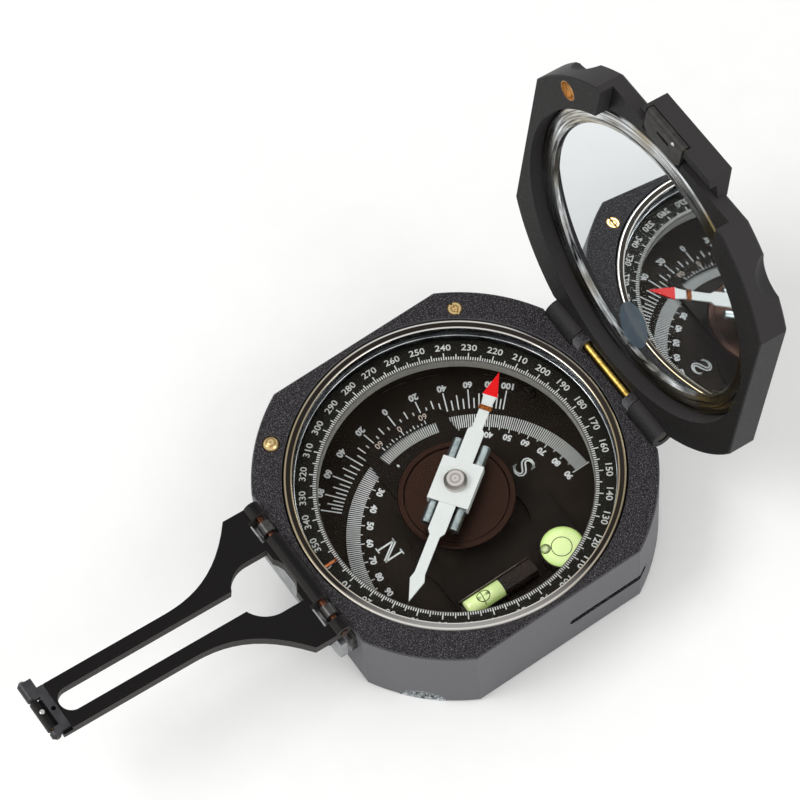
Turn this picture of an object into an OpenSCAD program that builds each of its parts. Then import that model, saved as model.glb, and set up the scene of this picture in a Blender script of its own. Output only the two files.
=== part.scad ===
// Pocket transit: a square-sided compass case with a hinged mirror lid, a folding
// sighting arm, a turning degree ring, a lifting needle and a clinometer under the glass.
// Origin at the middle of the case's bottom face, lid hinge towards +Y, arm towards -Y.
// The lid and the arm are drawn shut and flat, then turned to the open positions below.

/* [Case] */
// Width across the flat sides
flat_w = 70; // [68:0.5:84]
// How far the round corners stand out past the flats
corner_reach = 4.93; // [4.9:0.01:6]
// Height of the case under the lid
case_h = 20.65; // [19.8:0.05:25]
// Thinnest wall, where the round well comes nearest a flat side
wall = 1.05; // [0.9:0.05:1.3]
// Width of each ledge in the stepped well
ledge_w = 1.75; // [1.5:0.05:2]
// Thickness of the floor
floor_t = 1.6; // [1.4:0.1:1.8]
// Depth of the round recess in the back that holds the clinometer lever
back_recess = 1.3; // [1.2:0.1:1.4]
// Depth of the grooves in the two sides
groove_depth = 1.6; // [0.8:0.1:1.7]
// Height of those grooves
groove_h = 1.8; // [1.4:0.1:2.4]

/* [Degree ring and glass] */
// Depth of the degree ring's face below the case top
ring_depth = 5.71; // [5.4:0.01:6]
// Thickness of the degree ring
ring_t = 2.54; // [2:0.02:2.8]
// Width of the ring's face, from its bore to the tooth tips
ring_face = 6.5; // [5:0.1:7]
// Gear module of the ring's teeth
tooth_module = 0.42; // [0.4:0.01:0.46]
// Teeth on the setting pinion
pinion_teeth = 13; // [12:1:14]
// Direction of the setting pinion from the middle
pinion_angle = 145.1; // [140:0.1:150]
// Thickness of the glass
crystal_t = 1.5; // [1.2:0.1:1.6]
// Width of the bright bezel
bezel_w = 2.3; // [2:0.1:2.6]

/* [Needle] */
// Direction of the needle's red end
needle_angle = 125.3; // [0:0.1:360]
// Gap between the needle's tail and the bore of the degree ring
needle_gap = 0.25; // [0.2:0.05:1]
// Thickness of the needle's blade
blade_t = 0.3; // [0.2:0.05:0.4]
// Radius of the two magnet rods
magnet_r = 1.05; // [0.8:0.05:1.1]
// Radius of the pivot post
post_r = 1; // [0.9:0.05:1.05]
// Travel of the lift pin when it is pressed
lift_travel = 0.8; // [0.6:0.05:0.85]
// Direction of the lift pin from the middle
lift_angle = -135.4; // [-140:0.1:-130]
// Distance from the middle to the lever's pivot pin
fulcrum_r = 14.6; // [13:0.1:16]

/* [Clinometer] */
// Distance of the clinometer's pivot from the middle
clino_x = 7.5; // [7:0.1:8]
// Radius of the clinometer's shaft
shaft_r = 1.2; // [1:0.05:1.4]
// Thickness of the clinometer arm's plate
clino_t = 0.6; // [0.5:0.05:0.7]
// Half width of the arm's vernier plate
plate_half = 9.3; // [8.8:0.1:9.6]
// Radius of the tube level
vial_r = 1.5; // [1.2:0.05:1.55]
// Radius of the round level's cup
cup_r = 4.6; // [4:0.1:4.7]

/* [Sighting arm] */
// How far the arm is raised above level
arm_tilt = 7.37; // [0:0.01:60]
// Length from the arm's hinge to the middle of its tip hinge
arm_len = 57.3; // [50:0.1:60]
// Thickness of the arm
arm_t = 2.2; // [1.8:0.1:2.3]
// Half width at the root
root_half = 16.3; // [15.8:0.1:17]
// Half width of the long blade
blade_half = 5.4; // [5:0.05:6.5]
// Half width of the long slot
slot_half = 2.6; // [1.8:0.1:2.8]
// Radius of the arm's hinge pin
arm_pin_r = 0.8; // [0.6:0.05:0.9]

/* [Lid] */
// How far the lid is open, from shut
lid_open = 98.73; // [0:0.01:150]
// Thickness of the lid
lid_t = 6.42; // [6.2:0.02:7.5]
// Thickness of the lid's back wall
lid_back = 1.87; // [1.5:0.01:2]
// Thickness of the mirror
mirror_t = 1.06; // [0.9:0.01:1.2]
// How far the hinge line stands out past the back flat
hinge_out = 2.12; // [2.1:0.01:2.5]
// Radius of the hinge barrels
barrel_r = 2.6; // [2.4:0.05:2.8]
// Radius of the hinge pin
hinge_pin_r = 1.2; // [1:0.05:1.3]

/* [Hidden] */
$fn = 96;

// Clearances: a running fit, a gap beside a turning piece and a gap between free pieces
fit = 0.05;
run_gap = 0.1;
free_gap = 0.3;
// How far a cutting shape passes the face that it cuts
past = 1;

// Case plan and the stepped well
flat = flat_w / 2;
case_r = flat + corner_reach;
edge_chamfer = 0.5;
scallop_r = 7;
scallop_out = 4.57;
scallop_off = 1.5;
bore_r = flat - wall;
well_r = bore_r - ledge_w;
sump_r = well_r - ledge_w;
ring_top = case_h - ring_depth;
ring_bottom = ring_top - ring_t;
ledge_z = ring_bottom - run_gap;
dial_t = 0.6;
dial_bottom = 4.4;
dial_top = dial_bottom + dial_t;

// Glass, its seat and the bezel
bezel_top = case_h - 0.15;
bezel_lip = 0.5;
crystal_top = bezel_top - bezel_lip;
crystal_bottom = crystal_top - crystal_t;
seat_bottom = ring_top + run_gap;
bezel_r = bore_r - fit;
bezel_in = bezel_r - bezel_w;
crystal_r = bezel_in + 0.5;
seat_in = crystal_r - 0.25;
index_r = 0.35;
index_z = seat_bottom + 0.6;

// Degree ring teeth and the setting pinion
tooth_add = tooth_module;
tooth_ded = 1.25 * tooth_module;
tooth_play = 0.1;
tip_gap = 0.14;
pressure = 20;
ring_teeth = floor(2 * (bore_r - tip_gap) / tooth_module + 0.001) - 2;
ring_pitch = ring_teeth * tooth_module / 2;
pinion_pitch = pinion_teeth * tooth_module / 2;
pinion_at = ring_pitch + pinion_pitch;
pinion_tip = pinion_pitch + tooth_add;
pocket_r = pinion_tip + 0.15;
ring_in = ring_pitch + tooth_add - ring_face;
bore_bevel = 0.25;
set_shaft_r = 0.8;
set_head_r = 1.4;
set_head_t = 1;
set_top = case_h - fit;
set_foot = ring_bottom - 2.8;

// Needle levels, from the degree ring's face
needle_z = ring_top + 0.36;
pivot_tip = needle_z + 1;
pivot_cone = 2.3;
hub_r = 2.35;
hub_top = needle_z + 2.33;
carrier_half_u = 4.85;
carrier_half_v = 4.25;
carrier_t = 0.3;
flange_h = 1.9;
tail_u = ring_in - needle_gap;
red_u = tail_u - 1.3;
magnet_u = 9.6;

// Lifting train: pin, lever and sleeve
lift_r = bore_r + 2.82;
lift_head_r = 1.8;
lift_shank_r = 0.8;
lift_top = case_h + 0.75;
lift_head_h = 3.6;
lift_seat = 6.5;
lever_t = 0.6;
lever_bottom = 2.4;
lever_top = lever_bottom + lever_t;
lever_half = 1.3;
lever_end = lift_r + 0.5;
lever_slot_bottom = lever_bottom - lift_travel - free_gap;
knuckle_r = 0.95;
lever_pin_r = 0.4;
lever_pin_z = 2.7;
sleeve_in = post_r + fit;
sleeve_r = sleeve_in + 0.5;
sleeve_bottom = lever_top + fit;
sleeve_top = needle_z - free_gap;

// Damping cup on its column
column_r = 2.8;
column_in = sleeve_r + 0.15;
damp_r = 11.8;
damp_t = 0.8;
damp_top = needle_z - 5.1;

// Clinometer plate, from its own pivot: u runs away from the vernier, v is +Y
back_r = 13;
back_floor = 0.9;
lever_hub_r = 4;
lever_tip_r = 2.6;
clino_z = dial_top + free_gap;
clino_top = clino_z + clino_t;
column_gap = 0.4;
orbit_in = clino_x - column_r - column_gap;
orbit_out = clino_x + column_r + column_gap;
orbit_half = 90 + asin(column_r / clino_x) + 3;
band_out = orbit_out + 3.1;
sector_r = well_r - 3.3;
window_in = sector_r - 5.5;
window_out = sector_r - 2.8;
window_half = 15.5;
plate_corner = 3.75;
shelf_u = 17.2;
shelf_v = [-13, 16];
vial_u = 13.15;
vial_y = [-12, -3.9];
cradle_y = [-12.8, 4];
cradle_half = 1.95;
cradle_top = clino_top + 2.7;
vial_z = clino_top + 0.1 + vial_r;
level_u = 13.5;
level_v = 10.65;
level_h = 3;

// Arm hinge line and bracket
leaf_t = 1.3;
leaf_half = 17;
leaf_top = case_h - 1.55;
leaf_bottom = leaf_top - 8.7;
leaf_corner = 4;
arm_y = -flat - 1.9;
arm_shift = 0.33;
arm_z = case_h + 0.9;
arm_top = arm_z + 0.45;
arm_barrel_r = 1.7;
bracket_barrel_r = 1.55;
window_x = [8.2, 13.4];
knuckle_x = [9.6, 12];
spring_in = 0.9;
screw_x = 12;
screw_z = leaf_top - 4.9;

// Arm outline, measured outwards from its hinge line
shoulder = 6.45;
flare_len = 21.5;
flare_power = 2.5;
cross_bar = 2.8;
fork_half = 6.45;
fork_side = 4.8;
fork_round = 6.3;
slot_end = 53.7;
tip_barrel_r = arm_t / 2;
tip_knuckle = 3.2;
tip_pin_r = 0.5;
tip_split = 0.15;
tip_rebate = 1;
tip_rebate_end = 3.2;
tip_tab = 2.9;
tip_bevel = 0.6;
tip_leaf_t = 0.85;

// Lid levels when shut
rim_gap = 0.1;
rim_z = case_h + rim_gap;
lid_top = rim_z + lid_t;
lid_floor = lid_top - lid_back;
mirror_z = lid_floor - mirror_t;
lid_bore = flat - 2;
hinge_y = flat + hinge_out;
hinge_z = rim_z;
barrel_x = [9.5, 18];
lug_half = barrel_x[0] - 0.2;
trough_half = 7.3;
mirror_r = lid_bore - 2;
mirror_ring_in = lid_bore - 4.4;
mirror_ring_t = 0.69;
oval_x = 0.4;
oval_a = 4.4;
oval_b = 6.1;
oval_y = mirror_ring_in - oval_b - run_gap;
notch_half = 17.7;
notch_top = rim_z + 3;
pad_r = 2.1;
pad_depth = 1.07;
pad_t = 0.5;

// Block at the lid's end and the small sight under it
block_out = 4.3;
block_rise = 1.9;
block_h = 3.75;
block_x = 0.75;
block_half = [11.9, 9.8];
sight_x = -2.6;
sight_half = 5.4;
sight_t = 0.9;
sight_z = notch_top - 0.15;
sight_in = lid_bore + 0.3;
sight_pin_y = -flat - 3.6;
sight_pin_z = sight_z + 0.95;
sight_pin_r = 0.45;
sight_barrel_r = 0.9;

// Plan of the case and the lid: a square with its corners cut to a circle
module plan_block(z0, z1, low, high) {
    intersection() {
        rotate_extrude() edge_profile(case_r, z0, z1, low, high, false);
        rotate([90, 0, 90]) linear_extrude(3 * flat, center = true)
            edge_profile(flat, z0, z1, low, high, true);
        rotate([90, 0, 0]) linear_extrude(3 * flat, center = true)
            edge_profile(flat, z0, z1, low, high, true);
    }
}

module edge_profile(r, z0, z1, low, high, both) {
    side = [[r - low, z0], [r, z0 + low], [r, z1 - high], [r - high, z1]];
    other = both ? [[high - r, z1], [-r, z1 - high], [-r, z0 + low], [low - r, z0]] : [[0, z1], [0, z0]];
    polygon(concat(side, other));
}

module disc(r, z0, z1) {
    translate([0, 0, z0]) cylinder(r = r, h = z1 - z0);
}

module tube(r, bore, z0, z1) {
    difference() {
        disc(r, z0, z1);
        disc(bore, z0 - past, z1 + past);
    }
}

// A bar along X between two places on it
module rod_x(r, x0, x1, y, z) {
    translate([x0, y, z]) rotate([0, 90, 0]) cylinder(r = r, h = x1 - x0);
}

module box(x0, x1, y0, y1, z0, z1) {
    translate([x0, y0, z0]) cube([x1 - x0, y1 - y0, z1 - z0]);
}

module mirrored_x() {
    children();
    mirror([1, 0, 0]) children();
}

function arc(r, a0, a1, steps) =
    [for (i = [0:steps]) let (a = a0 + (a1 - a0) * i / steps) [r * cos(a), r * sin(a)]];

function oval(a, b, steps) = [for (i = [0:steps - 1]) [a * cos(360 * i / steps), b * sin(360 * i / steps)]];

// Part of a flat ring between two radii and two directions, with true arcs
module ring_sector(r0, r1, a0, a1) {
    reach = 2 * r1;
    intersection() {
        difference() {
            circle(r1);
            circle(r0);
        }
        polygon(concat([[0, 0]], arc(reach, a0, a1, 6)));
    }
}

// Involute gear outline with a tooth centred on +X
function involute(a) = tan(a) * 180 / PI - a;
function flank(pitch, base, thick, r) =
    90 * thick / (PI * pitch) + involute(pressure) - involute(r > base ? acos(base / r) : 0);
function gear_points(teeth, steps) =
    let (
        pitch = teeth * tooth_module / 2,
        base = pitch * cos(pressure),
        thick = PI * tooth_module / 2 - tooth_play,
        r0 = pitch - tooth_ded,
        r1 = pitch + tooth_add
    )
    [
        for (t = [0:teeth - 1], s = [0:2 * steps + 1])
            let (
                up = s <= steps,
                k = up ? s : 2 * steps + 1 - s,
                r = r0 + (r1 - r0) * k / steps,
                half = flank(pitch, base, thick, r),
                a = 360 * t / teeth + (up ? -half : half)
            )
            [r * cos(a), r * sin(a)]
    ];

// A round wire wound as a helix, ends included
function ring_points(mean, wire, sides, turn, z) =
    [for (j = [0:sides - 1]) let (w = 360 * j / sides, r = mean + wire * cos(w))
        [r * cos(turn), r * sin(turn), z + wire * sin(w)]];
module helix(mean, wire, z0, z1, turns) {
    sides = 6;
    steps = 12 * turns;
    points = [for (i = [0:steps], p = ring_points(mean, wire, sides, 30 * i, z0 + (z1 - z0) * i / steps)) p];
    skin = [
        for (i = [0:steps - 1], j = [0:sides - 1])
            let (a = i * sides + j, b = i * sides + (j + 1) % sides)
            each [[a, b, a + sides], [b, b + sides, a + sides]]
    ];
    low = [for (j = [1:sides - 2]) [0, j + 1, j]];
    high = [for (j = [1:sides - 2]) [steps * sides, steps * sides + j, steps * sides + j + 1]];
    polyhedron(points, concat(skin, low, high));
}

// Frames of the pieces that are not drawn in the case's own frame
module at_pinion() {
    rotate([0, 0, pinion_angle]) translate([pinion_at, 0, 0]) children();
}

module at_lift_pin() {
    rotate([0, 0, lift_angle]) translate([lift_r, 0, 0]) children();
}

module at_clinometer() {
    translate([clino_x, 0, 0]) children();
}

module needle_frame() {
    rotate([0, 0, needle_angle]) children();
}

module arm_frame() {
    translate([-arm_shift, arm_y, arm_z]) rotate([-arm_tilt, 0, 0]) children();
}

module lid_frame() {
    translate([0, hinge_y, hinge_z]) rotate([-lid_open, 0, 0]) translate([0, -hinge_y, -hinge_z]) children();
}

// Case: stepped well, pinion pocket, lifting-pin bore, hinge lug, grooves and scallops
module case_body() {
    color("#2f2e31") difference() {
        union() {
            difference() {
                union() {
                    plan_block(0, case_h, edge_chamfer, 0.25);
                    hinge_lug();
                }
                well();
            }
            well_fittings();
        }
        pinion_pocket();
        lift_bores();
        clinometer_bores();
        side_grooves();
        barrel_reliefs();
        for (side = [-1, 1]) rotate([0, 0, -90 + 45 * side]) corner_scallop(-scallop_off);
        for (side = [-1, 1]) screw_at(side) screw_bore();
        rod_x(hinge_pin_r, -2 * lug_half, 2 * lug_half, hinge_y, hinge_z);
    }
}

module well() {
    disc(bore_r, ledge_z, case_h + past);
    disc(well_r, dial_bottom, case_h);
    disc(sump_r, floor_t, case_h);
}

module well_fittings() {
    intersection() {
        at_clinometer() disc(back_r + 1, 0.5, back_recess + back_floor);
        disc(well_r, 0, dial_bottom);
    }
    at_clinometer() disc(shaft_r + 1.3, 0.5, dial_bottom - 0.2);
    for (side = [-1, 1]) dial_screw_place(side) disc(2, floor_t - 0.5, dial_bottom);
    rotate([0, 0, lift_angle]) for (side = [-1, 1])
        box(fulcrum_r - 1, fulcrum_r + 1, side * 2.6 - 0.7, side * 2.6 + 0.7, floor_t - 0.5, 3.8);
}

module pinion_pocket() {
    at_pinion() {
        disc(pocket_r, ledge_z, ring_top + run_gap);
        box(-pocket_r, 0, -pocket_r, pocket_r, ledge_z, ring_top + run_gap);
        disc(set_shaft_r + fit, set_foot - 0.2, case_h);
        disc(set_head_r + run_gap, set_top - set_head_t - fit, case_h + past);
    }
}

module lift_bores() {
    at_lift_pin() {
        disc(lift_head_r + fit, lift_seat, case_h + past);
        disc(lift_shank_r + fit, lever_slot_bottom, lift_seat + past);
    }
    rotate([0, 0, lift_angle]) {
        box(sump_r - 2, lever_end + 0.2, -lever_half - 0.4, lever_half + 0.4, lever_slot_bottom, dial_bottom);
        translate([fulcrum_r, 3.6, lever_pin_z]) rotate([90, 0, 0]) cylinder(r = lever_pin_r, h = 7.2);
    }
}

module clinometer_bores() {
    at_clinometer() {
        intersection() {
            disc(back_r, -past, back_recess);
            box(-lever_tip_r - free_gap, back_r, -back_r, back_r, -past, back_recess);
        }
        disc(lever_hub_r + free_gap, -past, back_recess);
        disc(shaft_r + fit, -past, dial_top);
    }
}

module side_grooves() {
    start = 2.4 + groove_h / 2;
    z = 8.3;
    mirrored_x() {
        box(flat - groove_depth, flat + past, start, case_r, z - groove_h / 2, z + groove_h / 2);
        rod_x(groove_h / 2, flat - groove_depth, flat + past, start, z);
    }
}

// The lug that carries the hinge pin, open along its top
module hinge_lug() {
    difference() {
        union() {
            rod_x(barrel_r, -lug_half, lug_half, hinge_y, hinge_z);
            rotate([90, 0, 90]) linear_extrude(2 * lug_half, center = true) polygon([
                [flat - 1, hinge_z - barrel_r - 5],
                [flat, hinge_z - barrel_r - 5],
                [hinge_y + barrel_r * cos(30), hinge_z - barrel_r * sin(30)],
                [hinge_y, hinge_z],
                [flat - 1, hinge_z - rim_gap]
            ]);
        }
        box(-trough_half, trough_half, flat, hinge_y + 2 * barrel_r, hinge_z - 0.1, hinge_z + 2 * barrel_r);
        box(-lug_half - past, lug_half + past, flat - 2, flat, hinge_z - rim_gap, hinge_z + 2 * barrel_r);
    }
}

module barrel_reliefs() {
    mirrored_x() rod_x(barrel_r + 0.25, lug_half, barrel_x[1] + 0.3, hinge_y, hinge_z);
}

module corner_scallop(z) {
    translate([case_r + scallop_out, 0, z]) sphere(r = scallop_r);
}

module dial_screw_place(side) {
    translate([-12.1, side * (well_r - 6.5), 0]) children();
}

// Dial plate with the scales' flat face, held by two screws
module dial_plate() {
    color("#1f1a17") difference() {
        disc(well_r - run_gap, dial_bottom, dial_top);
        disc(column_in, 0, case_h);
        at_clinometer() disc(shaft_r + run_gap, 0, case_h);
        for (side = [-1, 1]) dial_screw_place(side) disc(0.8, 0, case_h);
    }
}

module dial_screw(side) {
    color("#8f8b84") dial_screw_place(side) difference() {
        union() {
            disc(0.8, dial_bottom, dial_top + 0.1);
            disc(1.4, dial_top, dial_top + 0.5);
        }
        box(-2, 2, -0.2, 0.2, dial_top + 0.25, dial_top + past);
    }
}

// Induction-damping cup on a column that the lifting sleeve runs through
module damping_cup() {
    color("#3a251e") difference() {
        rotate_extrude() polygon([
            [column_in, dial_top],
            [column_r, dial_top],
            [column_r, clino_top + 0.6],
            [8.2, damp_top - damp_t],
            [damp_r - 0.2, damp_top - damp_t],
            [damp_r, damp_top - damp_t + 0.2],
            [damp_r, damp_top - 0.2],
            [damp_r - 0.2, damp_top],
            [damp_r - 1.2, damp_top],
            [damp_r - 1.5, damp_top - 0.3],
            [column_in, damp_top - 0.3]
        ]);
    }
}

module needle_pivot() {
    color("#b9bcc0") union() {
        disc(post_r, back_recess + back_floor, pivot_tip - pivot_cone);
        translate([0, 0, pivot_tip - pivot_cone]) cylinder(r1 = post_r, r2 = 0.06, h = pivot_cone);
    }
}

module lever_pin() {
    color("#c9a45a") rotate([0, 0, lift_angle]) translate([fulcrum_r, 3.3, lever_pin_z])
        rotate([90, 0, 0]) cylinder(r = lever_pin_r, h = 6.6);
}

// Glass, the ring that it rests on and the bezel that holds it down
module crystal_seat_ring() {
    color("#55585c") difference() {
        tube(bezel_r, seat_in, seat_bottom, crystal_bottom);
        index_hole();
    }
}

module crystal() {
    color("#dfeeea", 0.3) disc(crystal_r, crystal_bottom, crystal_top);
}

module bezel() {
    color("#c8c2b4") rotate_extrude() polygon([
        [crystal_r + run_gap, crystal_bottom],
        [bezel_r, crystal_bottom],
        [bezel_r, bezel_top - 0.35],
        [bezel_r - 0.35, bezel_top],
        [bezel_in + 0.2, bezel_top],
        [bezel_in, bezel_top - 0.2],
        [bezel_in, crystal_top],
        [crystal_r + run_gap, crystal_top]
    ]);
}

// Radial index pin that points at the degree ring
module index_hole() {
    rotate([90, 0, 0]) translate([0, index_z, seat_in - past]) cylinder(r = index_r, h = past + 1);
}

module index_pin() {
    color("#b5683f") rotate([90, 0, 0]) translate([0, index_z, seat_in - 2.2]) cylinder(r = index_r, h = 3.2);
}

// Degree ring, toothed all round, in mesh with the setting pinion
module graduated_ring() {
    color("#2c2a24") difference() {
        translate([0, 0, ring_bottom]) linear_extrude(ring_t) difference() {
            rotate(pinion_angle) polygon(gear_points(ring_teeth, 2));
            circle(ring_in);
        }
        translate([0, 0, ring_top - bore_bevel])
            cylinder(r1 = ring_in, r2 = ring_in + bore_bevel + past, h = bore_bevel + past);
    }
}

module declination_pinion() {
    color("#c9a45a") at_pinion() difference() {
        translate([0, 0, ring_bottom]) linear_extrude(ring_t)
            rotate(180 + 180 / pinion_teeth) polygon(gear_points(pinion_teeth, 4));
        disc(set_shaft_r, 0, case_h);
    }
}

module declination_screw() {
    color("#c9a45a") at_pinion() difference() {
        union() {
            disc(set_shaft_r, set_foot, set_top - 0.1);
            disc(set_head_r, set_top - set_head_t, set_top);
        }
        rotate([0, 0, 35]) box(-2, 2, -0.22, 0.22, set_top - 0.5, set_top + past);
    }
}

// Lifting train
module lift_pin() {
    dome = 1.1;
    color("#c9a45a") at_lift_pin() union() {
        disc(lift_shank_r, lever_top + fit, lift_top - dome);
        disc(lift_head_r, lift_top - lift_head_h, lift_top - dome);
        intersection() {
            disc(lift_head_r, lift_top - dome, lift_top);
            translate([0, 0, lift_top - dome - 0.92]) sphere(r = dome + 0.92);
        }
    }
}

module lift_spring() {
    wire = 0.25;
    color("#9a9da2") at_lift_pin()
        helix(1.3, wire, lift_seat + wire, lift_top - lift_head_h - wire, 8);
}

module lifter_lever() {
    color("#8f8b84") rotate([0, 0, lift_angle]) difference() {
        union() {
            box(-1.5, lever_end, -lever_half, lever_half, lever_bottom, lever_top);
            disc(3, lever_bottom, lever_top);
            translate([fulcrum_r, lever_half, lever_pin_z]) rotate([90, 0, 0])
                cylinder(r = knuckle_r, h = 2 * lever_half);
        }
        disc(post_r + free_gap, 0, case_h);
        translate([fulcrum_r, 2 * lever_half, lever_pin_z]) rotate([90, 0, 0])
            cylinder(r = lever_pin_r + 0.04, h = 4 * lever_half);
    }
}

module lift_sleeve() {
    color("#c9a45a") tube(sleeve_r, sleeve_in, sleeve_bottom, sleeve_top);
}

// Needle: blade, folded carrier, jewelled hub, two magnets and a balance coil
module needle_blade() {
    half = 1.6;
    color("#eef1f0") needle_frame() translate([0, 0, needle_z]) linear_extrude(blade_t) difference() {
        polygon([
            [red_u, 0],
            [red_u - 5.6, half],
            [red_u - 5.6, 0.7 * half],
            [red_u - 11, 0.6 * half],
            [red_u - 13.5, half],
            [0, half],
            [-tail_u + 15, 0.8 * half],
            [-tail_u + 9.5, 0.6 * half],
            [-tail_u + 5.4, half],
            [-tail_u, 0],
            [-tail_u + 5.4, -half],
            [-tail_u + 9.5, -0.6 * half],
            [-tail_u + 15, -0.8 * half],
            [0, -half],
            [red_u - 13.5, -half],
            [red_u - 11, -0.6 * half],
            [red_u - 5.6, -0.7 * half],
            [red_u - 5.6, -half]
        ]);
        circle(1.2);
    }
}

module needle_carrier() {
    under = needle_z + blade_t;
    color("#eef1f0") needle_frame() difference() {
        union() {
            box(-carrier_half_u, carrier_half_u, -carrier_half_v, carrier_half_v, under, under + carrier_t);
            for (side = [0, 1]) mirror([0, side, 0])
                box(-carrier_half_u, carrier_half_u, carrier_half_v - carrier_t, carrier_half_v,
                    under - flange_h, under + carrier_t);
        }
        disc(1.2, 0, case_h);
    }
}

module needle_hub() {
    base = needle_z + blade_t + carrier_t;
    color("#d9d2c0") difference() {
        rotate_extrude() polygon([
            [0, base],
            [hub_r, base],
            [hub_r, hub_top - 0.7],
            [hub_r - 0.6, hub_top],
            [0, hub_top]
        ]);
        translate([0, 0, base - 0.01]) cylinder(r1 = 0.9, r2 = 0.2, h = pivot_tip + 0.15 - base);
    }
}

module needle_magnet(side) {
    color("#a7a49c") needle_frame()
        rod_x(magnet_r, -magnet_u, magnet_u, side * (carrier_half_v - carrier_t - magnet_r - 0.02),
              needle_z - magnet_r);
}

module needle_weight() {
    color("#9a5a35") needle_frame() difference() {
        box(red_u - 9, red_u - 8, -1.5, 1.5, needle_z - 0.5, needle_z + blade_t + 0.5);
        box(red_u - 10, red_u - 7, -1.15, 1.15, needle_z - 0.01, needle_z + blade_t + 0.01);
    }
}

// Clinometer plate with its vernier window, and the two levels that ride on it
module vernier_plate() {
    square_end = sector_r - 2.2;
    past_end = square_end + 0.72 * plate_corner;
    intersection() {
        difference() {
            circle(sector_r);
            circle(orbit_out);
        }
        polygon([
            [0, -plate_half],
            [-square_end, -plate_half],
            [-past_end, plate_corner - plate_half],
            [-past_end, plate_half - plate_corner],
            [-square_end, plate_half],
            [0, plate_half]
        ]);
    }
}

module clinometer_arm() {
    color("#2a2320") at_clinometer() translate([0, 0, clino_z]) linear_extrude(clino_t) difference() {
        union() {
            circle(band_out);
            vernier_plate();
            translate([0, shelf_v[0]]) square([shelf_u, shelf_v[1] - shelf_v[0]]);
        }
        ring_sector(window_in, window_out, 180 - window_half, 180 + window_half);
        ring_sector(orbit_in, orbit_out, 180 - orbit_half, 180 + orbit_half);
        circle(shaft_r);
    }
}

module clinometer_shaft() {
    color("#c9a45a") at_clinometer() union() {
        disc(shaft_r, free_gap, clino_top + 0.1);
        disc(2.1, clino_top, clino_top + 0.5);
    }
}

module clinometer_lever() {
    low = 0.25;
    high = back_recess - 0.15;
    color("#8f8b84") at_clinometer() difference() {
        union() {
            disc(lever_hub_r, low, high);
            box(0, back_r - 1 - lever_tip_r, -lever_tip_r, lever_tip_r, low, high);
            translate([back_r - 1 - lever_tip_r, 0, 0]) disc(lever_tip_r, low, high);
        }
        disc(shaft_r, -past, 2);
    }
}

module tube_level_cradle() {
    color("#26211f") at_clinometer() difference() {
        box(vial_u - cradle_half, vial_u + cradle_half, cradle_y[0], cradle_y[1], clino_top, cradle_top);
        translate([vial_u, vial_y[1], vial_z]) rotate([90, 0, 0])
            cylinder(r = vial_r, h = vial_y[1] - vial_y[0]);
        box(vial_u - vial_r, vial_u + vial_r, vial_y[0], vial_y[1], vial_z, cradle_top + past);
    }
}

module tube_level_vial() {
    color("#d6f0a0", 0.8) at_clinometer() translate([vial_u, vial_y[1], vial_z]) rotate([90, 0, 0])
        cylinder(r = vial_r, h = vial_y[1] - vial_y[0]);
}

module round_level_cup() {
    color("#26211f") at_clinometer() translate([level_u, level_v, 0]) difference() {
        disc(cup_r, clino_top, clino_top + level_h);
        disc(cup_r - 0.7, clino_top + 0.5, clino_top + level_h + past);
    }
}

module round_level_glass() {
    glass_r = cup_r - 0.7;
    color("#d6f0a0", 0.8) at_clinometer() translate([level_u, level_v, 0]) intersection() {
        disc(glass_r, clino_top + 0.5, clino_top + level_h + 0.15);
        translate([0, 0, clino_top + level_h + 0.15 - 20]) sphere(r = 20);
    }
}

// Hinge bracket on the front flat, with the detent spring in front of it
module leaf_plate(y0, thick, top) {
    foot = leaf_bottom + leaf_corner;
    inner = leaf_half - leaf_corner;
    translate([0, y0, 0]) rotate([90, 0, 0]) linear_extrude(thick) difference() {
        union() {
            translate([-leaf_half, foot]) square([2 * leaf_half, top - foot]);
            translate([-inner, leaf_bottom]) square([2 * inner, leaf_corner + 1]);
            for (side = [-1, 1]) translate([side * inner, foot]) circle(leaf_corner);
        }
        for (side = [-1, 1]) translate([side * screw_x, screw_z]) circle(0.8);
    }
}

module arm_bracket() {
    color("#8d8f92") difference() {
        union() {
            leaf_plate(-flat, leaf_t, leaf_top);
            mirrored_x() {
                rod_x(bracket_barrel_r, knuckle_x[0], knuckle_x[1], arm_y, arm_z);
                rotate([90, 0, 90]) translate([0, 0, knuckle_x[0]])
                    linear_extrude(knuckle_x[1] - knuckle_x[0]) polygon([
                        [-flat - leaf_t, leaf_top - 1],
                        [-flat, leaf_top - 1],
                        [-flat, leaf_top],
                        [arm_y + bracket_barrel_r, arm_z],
                        [arm_y - bracket_barrel_r * 0.6, arm_z - bracket_barrel_r * 0.8],
                        [-flat - leaf_t, leaf_top]
                    ]);
            }
        }
        rod_x(arm_pin_r, -leaf_half, leaf_half, arm_y, arm_z);
        box(-leaf_half, leaf_half, -flat, past - flat, 0, 2 * case_h);
    }
}

module arm_detent_spring() {
    color("#8d8f92") difference() {
        union() {
            leaf_plate(-flat - leaf_t - spring_in, leaf_t, leaf_top);
            box(-13, 13, -flat - leaf_t - spring_in, -flat - leaf_t, screw_z - 1.7, screw_z + 1.7);
        }
        for (side = [-1, 1]) screw_at(side) translate([0, 0, -5]) cylinder(r = 0.8, h = 10);
    }
}

// A frame on a bracket screw's axis, with Z pointing out of the front flat
module screw_at(side) {
    translate([side * screw_x, -flat, screw_z]) rotate([90, 0, 0]) children();
}

module screw_bore() {
    translate([0, 0, -2.2]) cylinder(r = 0.8, h = 3);
}

module bracket_screw(side) {
    head = 2 * leaf_t + spring_in;
    color("#9b9c9e") screw_at(side) difference() {
        union() {
            translate([0, 0, -2]) cylinder(r = 0.8, h = head + 2.1);
            translate([0, 0, head]) cylinder(r = 1.7, h = 0.8);
        }
        translate([-2, -0.25, head + 0.4]) cube([4, 0.5, 1]);
    }
}

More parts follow.
